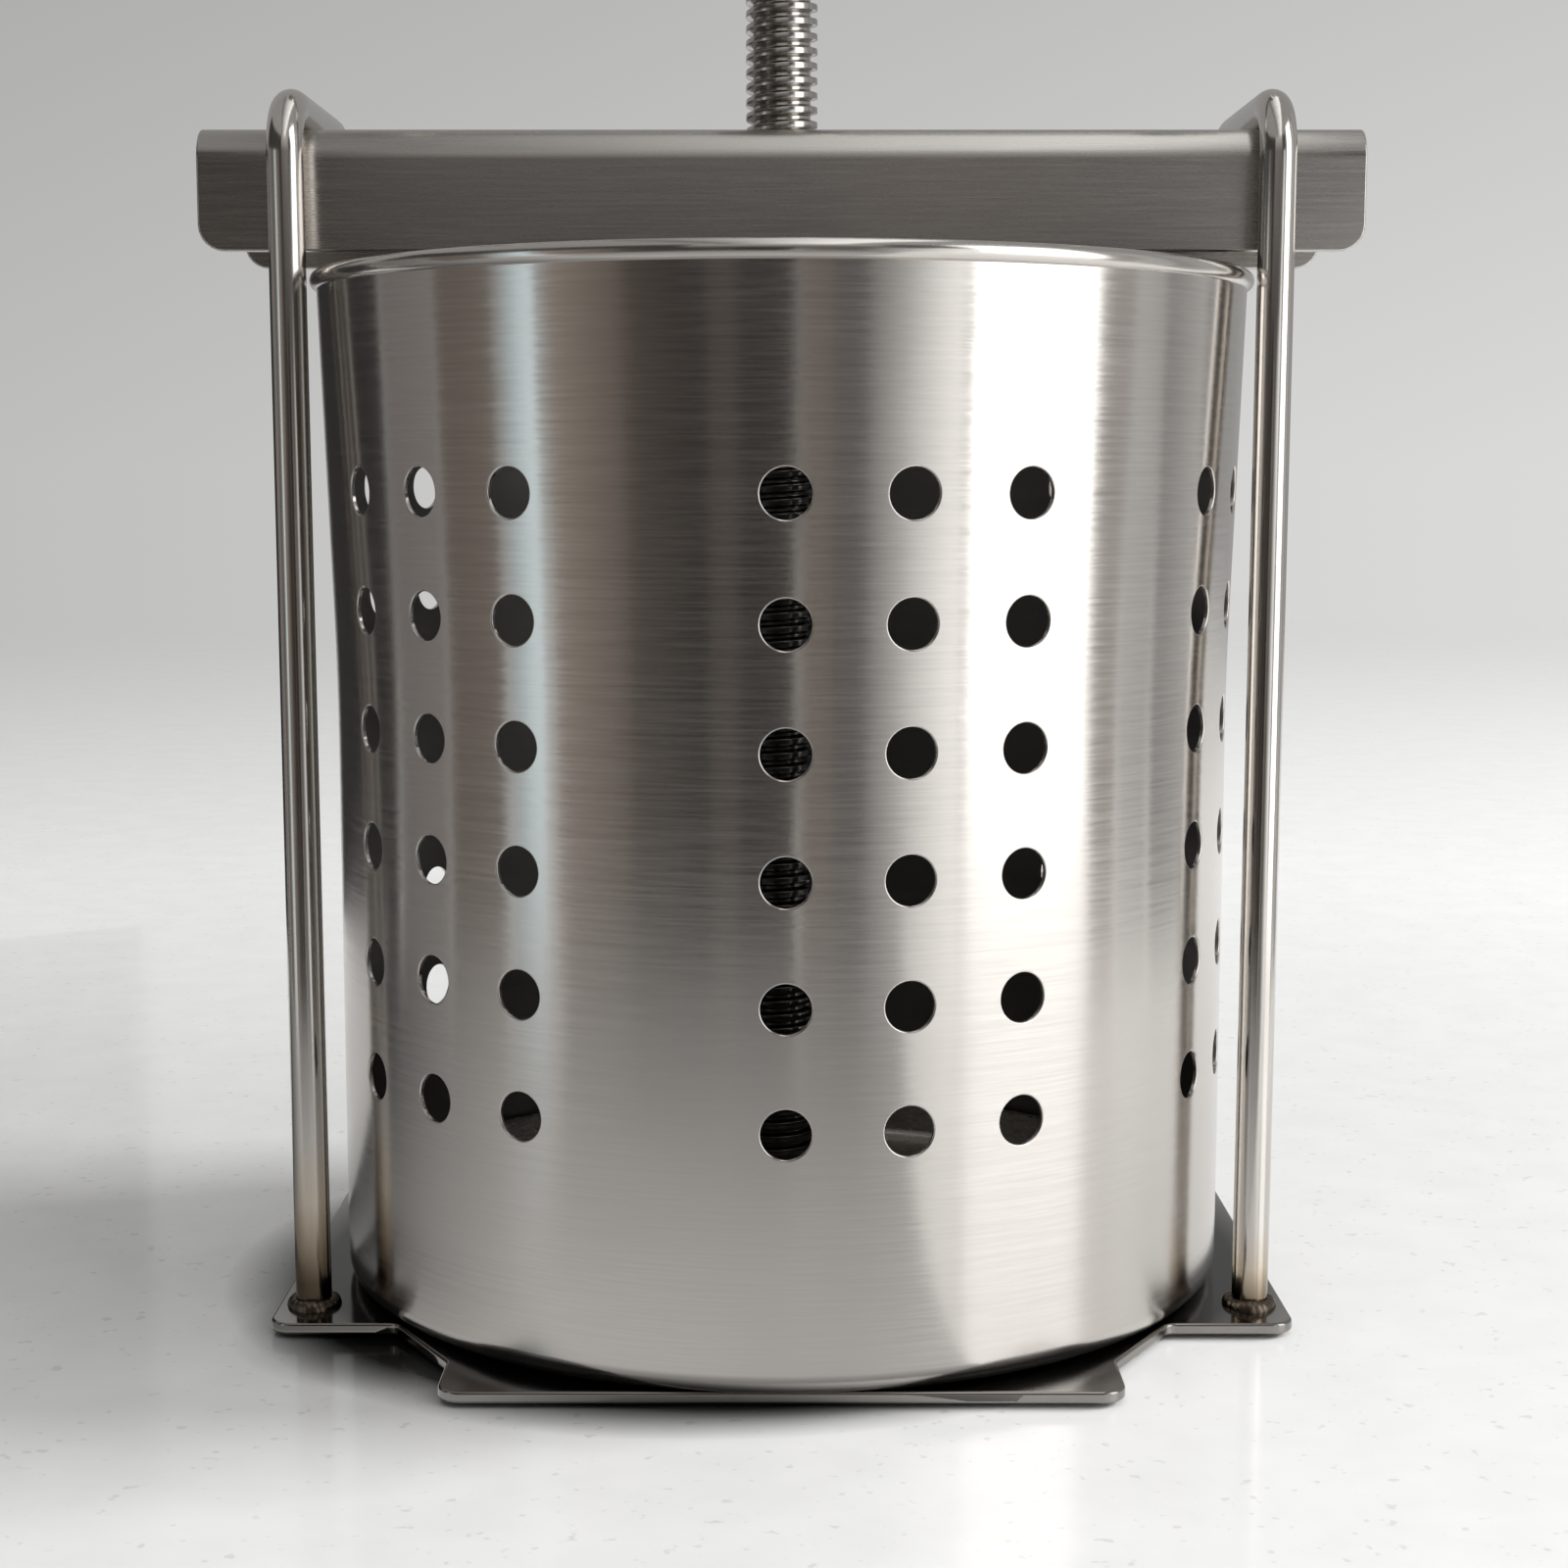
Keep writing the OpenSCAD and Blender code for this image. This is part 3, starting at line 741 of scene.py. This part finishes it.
# %% The grid of the wall
cell_cuts = 8
plain_cuts = 10
cell_turn = column_step / cell_cuts
plain_turn = (group_step - hole_columns * column_step) / plain_cuts
group_cuts = hole_columns * cell_cuts + plain_cuts
turns = []
for g in range(hole_groups):
    start = group_turn + g * group_step - hole_columns * column_step / 2
    turns += [start + i * cell_turn for i in range(hole_columns * cell_cuts)]
    start += hole_columns * column_step
    turns += [start + i * plain_turn for i in range(plain_cuts)]
band_low = hole_low - hole_pitch / 2
band_high = band_low + hole_rows * hole_pitch
band_cuts = hole_rows * cell_cuts
heights = [band_low + hole_pitch / cell_cuts * j for j in range(band_cuts + 1)]
print("The wall is cut into", len(turns), "columns and", band_cuts, "rows")


# %% The perforated band
def hole_of(i, j):
    """The group, column and row of the hole whose cell holds a square of the grid, if any."""
    group, place = divmod(i, group_cuts)
    if place >= hole_columns * cell_cuts:
        return None
    return group, place // cell_cuts, j // cell_cuts


def cell_outline(grid, first, low):
    """The numbers round a cell, from its lower right corner upwards and round to the left."""
    n = cell_cuts
    right = [(first + n, low + k) for k in range(n)]
    top = [(first + n - k, low + n) for k in range(n)]
    left = [(first, low + n - k) for k in range(n)]
    bottom = [(first + k, low) for k in range(n)]
    return [grid(i, j) for i, j in right + top + left + bottom]


def perforated_band(skin, depth):
    """One face of the wall between the lowest and the highest holes, and its grid."""
    numbers = {}

    def grid(i, j):
        key = (i % len(turns), j)
        if key not in numbers:
            numbers[key] = skin.row([wall_spot(turns[key[0]], heights[j], depth)])[0]
        return numbers[key]

    for i in range(len(turns)):
        for j in range(band_cuts):
            if hole_of(i, j) is None:
                skin.faces.append((grid(i, j), grid(i + 1, j), grid(i + 1, j + 1), grid(i, j + 1)))
    return grid


# %% The holes of the pot
def pot_surface(turn, height):
    """The surface round one hole, for the punch."""
    axis = Vector((math.cos(turn), math.sin(turn), 0))
    side = Vector((-math.sin(turn), math.cos(turn), 0))
    up = Vector((0, 0, 1))

    def surface(a, b, depth):
        r = wall_radius(height + b) - depth
        flat = axis * math.sqrt(r * r - a * a) + side * a
        out = (flat.normalized() - up * wall_lean(height + b)).normalized()
        return flat + up * (height + b), out, side, up

    return surface


pot_skin = Skin()
outer_grid = perforated_band(pot_skin, 0)
inner_grid = perforated_band(pot_skin, sheet_t)
for g in range(hole_groups):
    for c in range(hole_columns):
        for row in range(hole_rows):
            cell = (g * group_cuts + c * cell_cuts, row * cell_cuts)
            turn = group_turn + g * group_step + (c - 1) * column_step
            surface = pot_surface(turn, hole_low + row * hole_pitch)
            outlines = [cell_outline(grid, *cell) for grid in (outer_grid, inner_grid)]
            punch(pot_skin, *outlines, surface, hole_r, punched_edge, inner_edge, sheet_t)
print("The pot has", hole_groups * hole_columns * hole_rows, "holes of", 2 * hole_r, "mm")


# %% [markdown]
# Above and below the holes the pot is a turned profile: up the outside, over the rolled
# bead, and down the inside. The bead's two ends meet the wall in a crevice.


# %% Mouth, bead and bottom
def quarter(middle, radius, start, end, steps, face=1):
    """An arc of a profile, in degrees, with normals that point away from its middle, or to it."""
    spots = []
    for k in range(steps + 1):
        angle = math.radians(start + (end - start) * k / steps)
        c, s = math.cos(angle), math.sin(angle)
        spots.append(((middle[0] + radius * c, middle[1] + radius * s), (face * c, face * s)))
    return spots


def wall_profile(levels, depth):
    """Spots of the wall's profile at the given heights."""
    face = 1 if depth == 0 else -1
    return [((wall_radius(z) - depth, z), (face, -face * wall_lean(z))) for z in levels]


turned_in = (pot_r - corner_r, pot_low.z + corner_r)
low_levels = [12, 22, band_low]
top_levels = [band_high, 160, 168]
crevice = math.degrees(math.acos((rim_r - bead_mid_r) / bead_r))
bead_cuts, bottom_cuts = 22, 8
bead = quarter((bead_mid_r, bead_z), bead_r, -crevice, 180 + crevice, bead_cuts)
outer_low = quarter(turned_in, corner_r, -90, 0, bottom_cuts)
turn_round(pot_skin, outer_low + wall_profile(low_levels, 0), turns)
outer_join = [(bead[0][0], (1, -wall_lean(top_levels[-1])))]
inner_join = [(bead[-1][0], (-1, wall_lean(top_levels[-1])))]
above = wall_profile(top_levels, 0) + outer_join + bead + inner_join
turn_round(pot_skin, above + wall_profile(reversed(top_levels), sheet_t), turns)
inner_low = quarter(turned_in, corner_r - sheet_t, 0, -90, bottom_cuts, -1)
turn_round(pot_skin, wall_profile(reversed(low_levels), sheet_t) + inner_low, turns)
for level, face in ((pot_low.z, -1), (pot_low.z + sheet_t, 1)):
    edge = [(turned_in[0] * math.cos(a), turned_in[0] * math.sin(a), level) for a in turns]
    pot_skin.cap(pot_skin.row([(point, (0, 0, face)) for point in edge]))

# %% The pot's two finishes
pot_finish = steel(
    "brushed pot sheet", (50, 50, 2000), 0.20, contrast=0.04, pull=0.80, sway=0.005
)
# The inside is rougher, and its darker colour is painted shade, so the holes look dark
inside_shaded_finish = steel("rough inside of the pot with painted shade", (60, 60, 900), 0.42, darker(steel_colour, 0.38))
pot = piece("pot", pot_skin, pot_finish, "pot", "pot_steel", "press_pot")
pot.data.materials.append(inside_shaded_finish)
floor_top = (pot_low.z + corner_r) * MM
for face in pot.data.polygons:
    spot = face.center
    looks_in = face.normal.xy.dot(spot.xy) < -0.3 * spot.xy.length
    on_floor = face.normal.z > 0.9 and spot.z < floor_top
    if looks_in or on_floor:
        face.material_index = 1
inside_faces = sum(face.material_index for face in pot.data.polygons)
print("The dull inside covers", inside_faces, "of", len(pot.data.polygons), "faces")

# %% [markdown]
# ## The base plate
#
# The plate is laser cut from 2 mm sheet, and then tumbled, so that its edges are just round.
# Its outline is a few corners with radii: wings under the loops, lobes to front and back.
# A bevel would round the edges too, but the soft slab below knows its exact normals.
# The top is lighter than the edge, whose darker tone is painted shade, and it darkens towards
# the pot as painted shade, so it takes a second finish on the faces that look straight up.

# %% Outline of the plate
plate_low, plate_high = corners_of("base_plate")
plate_t = plate_high.z
wing_x = plate_high.x
lobe_y = plate_high.y
wing_y = 43.4
lobe_x = 55.0
wing_root_x = 66.0
shoulder_y = 62.0
plate_corner_r = 4.0
plate_fillet = 2.5
plate_edge = 0.5
quarter_outline = [
    (wing_x, wing_y, plate_corner_r), (wing_root_x, wing_y, plate_fillet),
    (lobe_x, shoulder_y, plate_fillet), (lobe_x, lobe_y, plate_corner_r),
]
plate_corners = list(quarter_outline)
plate_corners += [(-x, y, r) for x, y, r in reversed(quarter_outline)]
plate_corners += [(-x, -y, r) for x, y, r in quarter_outline]
plate_corners += [(x, -y, r) for x, y, r in reversed(quarter_outline)]
print("The plate is", round(2 * wing_x, 1), "by", round(2 * lobe_y, 1), "mm")


# %% A slab with soft edges
def slab(skin, outline, low, high, edge):
    """A flat plate with soft edges, from its outline."""
    rows = []
    edge_cuts = 4
    for side, level in ((-1, low), (1, high)):
        tilts = [math.radians(90) * k / edge_cuts for k in range(edge_cuts + 1)]
        for tilt in tilts if side < 0 else reversed(tilts):
            inset = edge * (1 - math.sin(tilt))
            z = level - side * edge * (1 - math.cos(tilt))
            spots = []
            for spot, out in outline:
                x, y = spot - out * inset
                flat = out * math.sin(tilt)
                spots.append(((x, y, z), (flat.x, flat.y, side * math.cos(tilt))))
            rows.append(skin.row(spots))
    skin.strips(rows)
    skin.cap(rows[0])
    skin.cap(rows[-1])


# %% Base plate
tumbled = {"scratches": (300, 300, 300), "rough": 0.13, "contrast": 0.02}
# The edge is a darker copy of the top's steel: painted shade
plate_edge_shaded_finish = steel("tumbled plate sheet", colour=darker(steel_colour, 0.48), **tumbled)
# Towards the pot the top is darkened as painted shade, darkest within the first radius
plate_shade_r, plate_unshaded_r, plate_shade_light_left = 84, 95, 0.05
plate_top_shaded_finish = steel(
    "top of the plate with painted shade", colour=darker(steel_colour, 0.66), **tumbled,
    dull=("reach", plate_shade_r, plate_unshaded_r, plate_shade_light_left),
)
plate_skin = Skin()
slab(plate_skin, rounded(plate_corners), plate_low.z, plate_high.z, plate_edge)
plate = piece("plate", plate_skin, plate_edge_shaded_finish, "frame", "plate_steel", "base_plate")
plate.data.materials.append(plate_top_shaded_finish)
for face in plate.data.polygons:
    if face.normal.z > 0.99:
        face.material_index = 1

# %% [markdown]
# ## The wire loops
#
# Each loop is one length of drawn wire, bent twice and stood on the plate. Its legs draw
# together a little upwards, and the whole loop leans outwards, to pass the rim. A curve with
# a round bevel would do, but sweeping the ring of points by hand keeps the normals exact on
# the straight legs, where the long highlight would show any fault. The colours of the weld
# reach higher on the left loop, as painted shade for its darker foot.

# %% Sweeping a wire
wire_sections = 36


def wire(skin, path, radius, sideways, floor):
    """Sweeps a round wire along (point, direction) pairs in one plane, with feet cut level."""
    rows = []
    for point, way in path:
        across = way.cross(sideways)
        spots = []
        for k in range(wire_sections):
            angle = 2 * math.pi * k / wire_sections
            out = sideways * math.cos(angle) + across * math.sin(angle)
            here = point + out * radius
            if point in (path[0][0], path[-1][0]):
                here = here + way * ((floor - here.z) / way.z)
            spots.append((here, out))
        rows.append(skin.row(spots))
    skin.strips(rows)
    for row in (rows[0], rows[-1]):
        skin.cap(skin.row([(skin.points[k], (0, 0, -1)) for k in row]))


# %% Finishes of the wire
# The heat colours are real; on the left loop they reach higher, as painted shade for its darker foot
left_heat_and_shade, right_heat = (7, 34), (2, 17)
left_wire_finish, right_wire_finish = (
    steel("drawn wire " + side, (1500, 1500, 40), 0.15, contrast=0.05, heat=heat)
    for side, heat in (("left", left_heat_and_shade), ("right", right_heat))
)

# %% Sizes of a loop
wire_high = corners_of("right_loop")[1]
wire_r = 3.1
loop_y = round(wire_high.y - wire_r, 1)
loop_top_y = 26.0
loop_lean = math.radians(0.55)
wing_margin_x = 6.2
loop_x = wing_x - wing_margin_x
bend_r = 9.0
loop_h = (wire_high.z - wire_r - plate_t) / math.cos(loop_lean)
leg_taper = math.atan((loop_y - loop_top_y) / loop_h)
bend_reach = bend_r * math.tan((math.pi / 2 - leg_taper) / 2)
bend_middle = loop_top_y - bend_reach, loop_h - bend_r
bend_cuts = 16
bend_angles = [
    leg_taper + (math.pi / 2 - leg_taper) * k / bend_cuts for k in range(bend_cuts + 1)
]
leg_end = bend_middle[1] + bend_r * math.sin(leg_taper)
leg_cuts = 6
leg_heights = [leg_end * k / leg_cuts for k in range(leg_cuts)]
print("The legs draw together by", round(math.degrees(2 * leg_taper), 1), "degrees")

# %% Wire loops
for name, node, side, wire_finish in (
    ("loop_left", "left_loop", -1, left_wire_finish),
    ("loop_right", "right_loop", 1, right_wire_finish),
):
    outwards = Vector((side * math.sin(loop_lean), 0, math.cos(loop_lean)))
    foot = Vector((side * loop_x, 0, plate_t))
    half = []
    for h in leg_heights:
        place = foot + Vector((0, loop_y - h * math.tan(leg_taper), 0)) + outwards * h
        half.append((place, outwards * math.cos(leg_taper) - Vector((0, math.sin(leg_taper), 0))))
    for a in bend_angles:
        place = foot + Vector((0, bend_middle[0] + bend_r * math.cos(a), 0))
        place += outwards * (bend_middle[1] + bend_r * math.sin(a))
        half.append((place, outwards * math.cos(a) - Vector((0, math.sin(a), 0))))
    mirrored = [(Vector((p.x, -p.y, p.z)), Vector((-w.x, w.y, -w.z))) for p, w in reversed(half)]
    sideways = Vector((math.cos(loop_lean), 0, -side * math.sin(loop_lean)))
    loop_skin = Skin()
    wire(loop_skin, half + mirrored, wire_r, sideways, plate_t)
    piece(name, loop_skin, wire_finish, "frame", "wire_steel", node)

# %% [markdown]
# ## Welds at the feet
#
# Each leg stands in a bead of weld metal. The torch is dabbed round the wire, so the bead is
# a ring of small overlapping ripples, and the heat has left straw and brown on it and on the
# wire just above. A ring whose height and width follow a wave says this in few points.

# %% A bead of weld
def bead_ring(skin, middle, radius, low, width, height, ripples, cuts):
    """A low rippled bead that rings a round leg."""
    rows = []
    profile_cuts = 8
    slant, crease, lumps = 0.25, 0.07, 0.12
    for k in range(profile_cuts + 1):
        climb = math.radians(90 * k / profile_cuts)
        spots = []
        for i in range(cuts):
            angle = 2 * math.pi * i / cuts
            wave = (ripples * angle / (2 * math.pi) + slant * math.sin(climb)) % 1
            swell = 1 - crease * (2 * wave - 1) ** 2 + lumps * math.sin(3 * angle + middle[0])
            reach = radius + width * swell * math.cos(climb)
            z = low + height * swell * math.sin(climb)
            spots.append((middle[0] + reach * math.cos(angle), middle[1] + reach * math.sin(angle), z))
        rows.append(spots)
    numbers = []
    for k, row in enumerate(rows):
        spots = []
        for i, here in enumerate(row):
            forward = Vector(row[(i + 1) % cuts]) - Vector(row[i - 1])
            upward = Vector(rows[min(k + 1, profile_cuts)][i]) - Vector(rows[max(k - 1, 0)][i])
            spots.append((here, forward.cross(upward)))
        numbers.append(skin.row(spots))
    skin.strips(numbers)
    inside = []
    for z in (low + height, low):
        spots = []
        for i in range(cuts):
            angle = 2 * math.pi * i / cuts
            c, s = math.cos(angle), math.sin(angle)
            spots.append(((middle[0] + radius * c, middle[1] + radius * s, z), (-c, -s, 0)))
        inside.append(skin.row(spots))
    skin.strips([numbers[-1], *inside, numbers[0]])


# %% Welds
weld_w = 1.6
weld_h = 1.7
weld_ripples = 17
weld_cuts = 8 * weld_ripples
weld_skin = Skin()
for sx in (-1, 1):
    for sy in (-1, 1):
        foot = (sx * loop_x, sy * loop_y)
        bead_ring(weld_skin, foot, wire_r, plate_t, weld_w, weld_h, weld_ripples, weld_cuts)
weld_finish = steel("weld metal", (300, 300, 300), 0.32, (0.13, 0.105, 0.08))
piece("welds", weld_skin, weld_finish, "frame", "weld_metal", "loop_welds")

# %% [markdown]
# ## The crossbar
#
# The crossbar is a flat blank, cut with rounded corners and one hole and then folded twice.
# It is made here in the same order. Every point has a place on the flat blank, and folding
# is a function of the way across it. So the cut edge stays soft all round, as on the real
# channel, through the bends too. A solidified sheet would be quicker, with a harder edge.

# %% Folding the channel
bar_low, bar_high = corners_of("crossbar")
bar_t = 2.3
bar_bend_r = 5.5
bar_corner_r = 4.5
bar_edge = 0.35
screw_hole_r = 6.65
flat_half = bar_high.y - bar_bend_r
bend_mid_r = bar_bend_r - bar_t / 2
bend_length = bend_mid_r * math.pi / 2
flange_length = bar_high.z - bar_bend_r - bar_low.z
blank_half = flat_half + bend_length + flange_length
print("The channel's blank is", round(2 * blank_half, 1), "mm wide before it is folded")


def fold(x, s, h):
    """A place on the blank, folded: its point, and the directions across and out of the sheet."""
    side = 1 if s >= 0 else -1
    past = abs(s) - flat_half
    turned = min(max(past / bend_mid_r, 0), math.pi / 2)
    out = Vector((0, side * math.sin(turned), math.cos(turned)))
    across = Vector((0, math.cos(turned), -side * math.sin(turned)))
    y = side * (min(abs(s), flat_half) + bend_mid_r * math.sin(turned))
    z = bar_high.z - bar_bend_r + bend_mid_r * math.cos(turned) - max(past - bend_length, 0)
    return Vector((x, y, z)) + out * h, across, out


# %% Lines across and along the blank
corner_in = bar_corner_r - bar_edge
blank_end = bar_high.x - bar_edge
blank_side = blank_half - bar_edge
hole_cell = 10
cell_steps = 4
corner_cuts = 6
fold_cuts = 8
long_steps = [30, 50, 70, 85]
corner_angles = [math.radians(90 * k / corner_cuts) for k in range(corner_cuts + 1)]
ways_across = [hole_cell * k / cell_steps for k in range(cell_steps + 1)]
ways_across += [flat_half + bend_length * k / fold_cuts for k in range(fold_cuts + 1)]
ways_across += [blank_side - corner_in * (1 - math.cos(a)) for a in reversed(corner_angles)]
ways_along = [hole_cell * k / cell_steps for k in range(cell_steps + 1)]
ways_along += long_steps + [blank_end - corner_in]
ss = [-s for s in reversed(ways_across[1:])] + ways_across
xs = [-x for x in reversed(ways_along[1:])] + ways_along
print("The blank has", len(xs), "lines across it and", len(ss), "along it")


# %% The blank's rounded corners
def blank_x(i, j):
    """How far along a column of the blank is, where the rounded corners cut it short."""
    if 0 <= i < len(xs):
        return xs[i]
    short = blank_side - abs(ss[j])
    reach = blank_end
    if short < corner_in:
        reach = blank_end - corner_in + math.sqrt(max(corner_in**2 - (corner_in - short) ** 2, 0))
    return reach if i > 0 else -reach


def blank_out(x, s):
    """The way out of the blank at a place on its edge."""
    past_x = abs(x) - (blank_end - corner_in)
    past_s = abs(s) - (blank_side - corner_in)
    way = Vector((max(past_x, 0), max(past_s, 0)))
    if past_x < 1e-6 or past_s < 1e-6:
        way = Vector((0, 1)) if past_s > past_x else Vector((1, 0))
    way.normalize()
    return math.copysign(way.x, x), math.copysign(way.y, s)


# %% Both faces of the channel
bar_skin = Skin()
hole_first = xs.index(-hole_cell), ss.index(-hole_cell)
hole_last = xs.index(hole_cell), ss.index(hole_cell)
faces_of_sheet = []
for h in (bar_t / 2, -bar_t / 2):
    numbers = {}
    for j in range(len(ss)):
        for i in range(-1, len(xs) + 1):
            point, across, out = fold(blank_x(i, j), ss[j], h)
            numbers[i, j] = bar_skin.row([(point, out * h)])[0]
    for j in range(len(ss) - 1):
        for i in range(-1, len(xs)):
            if hole_first[0] <= i < hole_last[0] and hole_first[1] <= j < hole_last[1]:
                continue
            square = (numbers[i, j], numbers[i + 1, j], numbers[i + 1, j + 1], numbers[i, j + 1])
            bar_skin.faces.append(square)
    faces_of_sheet.append(numbers)

# %% The channel's cut edges
last_i, last_j = len(xs), len(ss) - 1
rim = [(last_i, j) for j in range(last_j)]
rim += [(i, last_j) for i in range(last_i, -1, -1)]
rim += [(-1, j) for j in range(last_j, 0, -1)]
rim += [(i, 0) for i in range(-1, last_i)]
edge_tilts = [math.radians(t) for t in (0, 30, 60, 90)]
edge_rows = []
for face in (1, -1):
    for tilt in edge_tilts if face > 0 else reversed(edge_tilts):
        spots = []
        for i, j in rim:
            x, s = blank_x(i, j), ss[j]
            way = blank_out(x, s)
            grown = bar_edge * math.sin(tilt)
            h = face * (bar_t / 2 - bar_edge * (1 - math.cos(tilt)))
            point, across, out = fold(x + way[0] * grown, s + way[1] * grown, h)
            sideways = Vector((way[0], 0, 0)) + across * way[1]
            spots.append((point, sideways * math.sin(tilt) + out * face * math.cos(tilt)))
        edge_rows.append(bar_skin.row(spots))
bar_skin.strips(edge_rows)


# %% The channel's hole and finish
def bar_surface(a, b, depth):
    """The flat top round the screw's hole."""
    return (
        Vector((a, b, bar_high.z - depth)), Vector((0, 0, 1)), Vector((1, 0, 0)), Vector((0, 1, 0))
    )


def bar_cell(numbers):
    """The numbers round the hole's cell, from its lower right corner."""
    (i0, j0), (i1, j1) = hole_first, hole_last
    way = [(i1, j) for j in range(j0, j1)] + [(i, j1) for i in range(i1, i0, -1)]
    way += [(i0, j) for j in range(j1, j0, -1)] + [(i, j0) for i in range(i0, i1)]
    return [numbers[spot] for spot in way]


outlines = [bar_cell(numbers) for numbers in faces_of_sheet]
punch(bar_skin, *outlines, bar_surface, screw_hole_r, bar_edge, bar_edge, bar_t)
bar_finish = steel(
    "brushed channel", (60, 3600, 3600), 0.26, darker(steel_colour, 0.84), contrast=0.02,
    pull=0.6, axis="X", turn=0.0,
)
piece("channel", bar_skin, bar_finish, "crossbar", "bar_steel", "crossbar")

# %% [markdown]
# ## The screw
#
# The thread is a single ridge that climbs a pitch in each turn, with a broad flat crest and
# sloped flanks. Its mesh is one helical sheet: a column of points for each direction round
# the axis, where the last column joins the first one a pitch higher. At both ends the ridge
# runs out into the core. A bump in the finish would be cheaper, but it fails in outline.
# Above the crossbar the steel keeps its colour. Below it the thread is darkened as painted shade.

# %% The ridge of the thread
screw_low, screw_high = corners_of("press_screw")
thread_r = screw_high.x
thread_pitch = 2.54
thread_depth = 1.25
thread_low = 17.0
thread_high = screw_high.z
thread_columns = 40
crest, flank = 0.40, 0.18
# Places up one pitch, as shares of it, with the share of the full depth at each
soft = 0.035
ridge = [
    (0, 1), (crest * 0.5, 1), (crest - soft, 0.99), (crest + soft * 0.6, 0.93),
    (crest + flank - soft, 0.12), (crest + flank + soft, 0.01), (0.79, 0),
    (1 - flank - soft, 0.01), (1 - flank + soft, 0.12), (1 - soft * 0.6, 0.93),
]
thread_turns = int((thread_high - thread_low) / thread_pitch) + 3
thread_rows = thread_turns * len(ridge)
run_out = 0.8
print("The ridge climbs", thread_pitch, "mm in each turn, through", thread_turns, "turns")


# %% A point of the thread
def thread_spot(i, j):
    """A point of the thread's sheet: column i round the axis, step j up the ridge."""
    lap, step = divmod(j, len(ridge))
    share, tall = ridge[step]
    turn = 2 * math.pi * i / thread_columns
    z = thread_low + (lap - 1 + share + i / thread_columns) * thread_pitch
    ends = min(z - thread_low, thread_high - z)
    rise = tall * min(max(ends / run_out, 0), 1)
    z = min(max(z, thread_low), thread_high)
    r = thread_r - thread_depth * (1 - rise)
    return Vector((r * math.cos(turn), r * math.sin(turn), z))


# %% The thread
screw_skin = Skin()
columns = []
for i in range(thread_columns):
    spots = []
    for j in range(thread_rows):
        here = thread_spot(i, j)
        round_about = thread_spot(i + 1, j) - thread_spot(i - 1, j)
        upwards = thread_spot(i, min(j + 1, thread_rows - 1)) - thread_spot(i, max(j - 1, 0))
        normal = round_about.cross(upwards)
        if normal.length < 1e-6:
            normal = Vector((here.x, here.y, 0))
        spots.append((here, normal))
    columns.append(screw_skin.row(spots))
for i in range(thread_columns - 1):
    screw_skin.strip(columns[i], columns[i + 1], closed=False)
lap = len(ridge)
screw_skin.strip(columns[-1][:-lap], columns[0][lap:], closed=False)
print("The thread has", len(screw_skin.faces), "faces before the points are joined")

# %% [markdown]
# Below the thread the screw is turned down to a journal, with a groove for the open ring
# that keeps the foot on. It is a profile of a few rounded corners, like the pot's bottom.

# %% The journal and the screw
core_r = thread_r - thread_depth
journal_r = 3.98
groove_r = 3.5
groove_z = 7.3
ring_t = 1.04
shoulder_z = corners_of("thrust_washer")[1].z
thread_angles = [2 * math.pi * i / thread_columns for i in range(thread_columns)]
groove_top = groove_z + ring_t
journal = [
    (0, screw_low.z, 0), (journal_r, screw_low.z, 0.5), (journal_r, groove_z, 0.05),
    (groove_r, groove_z, 0.1), (groove_r, groove_top, 0.1), (journal_r, groove_top, 0.05),
    (journal_r, shoulder_z, 0.2), (core_r, shoulder_z, 0.3), (core_r, thread_low, 0),
]
turn_round(screw_skin, rounded(journal, closed=False, steps=3), thread_angles)
top = [(core_r * math.cos(a), core_r * math.sin(a), thread_high) for a in thread_angles]
screw_skin.cap(screw_skin.row([(point, (0, 0, 1)) for point in top]))
# The thread is darkened as painted shade below the first height, and unshaded from the second
shade_top, unshaded_from, shade_light_left = 174, 186, 0.35
screw_finish = steel(
    "rolled screw", (500, 500, 900), 0.20, darker(steel_colour, 0.78),
    dull=("height", shade_top, unshaded_from, shade_light_left),
)
piece("screw", screw_skin, screw_finish, "screw", "screw_steel", "press_screw")

# %% [markdown]
# ## The carried-over pieces
#
# The frame's own meshes serve for the nut, the foot, the disc and the handle, which are
# exact already, with a finish in place of their plain colour. Making them again would only
# risk a gap between pieces that are held together.

# %% Finishes for the frame's pieces
turned_finish = steel("turned steel", (300, 300, 1500), 0.25)
ring_finish = steel("spring steel", (500, 500, 500), 0.35, darker(steel_colour, 0.5))
handle_finish = steel("polished handle", (200, 200, 1500), 0.14, contrast=0.02)
disc_finish = steel("spun disc", (300, 300, 1200), 0.28)
node_finishes = {
    "crossbar": bar_finish,
    "screw_nut": bar_finish,
    "swivel_foot": turned_finish,
    "thrust_washer": turned_finish,
    "bracket_rivets": turned_finish,
    "retaining_ring": ring_finish,
    "hub_pin": ring_finish,
    "handle_hub": handle_finish,
    "handle_rod": handle_finish,
    "left_knob": handle_finish,
    "right_knob": handle_finish,
    "press_disc": disc_finish,
    "disc_bracket": disc_finish,
    "loop_welds": weld_finish,
    "nut_weld": weld_finish,
}
for node, finish in node_finishes.items():
    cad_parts[node].material_slots[0].material = finish
print(len(node_finishes), "pieces take a finish")
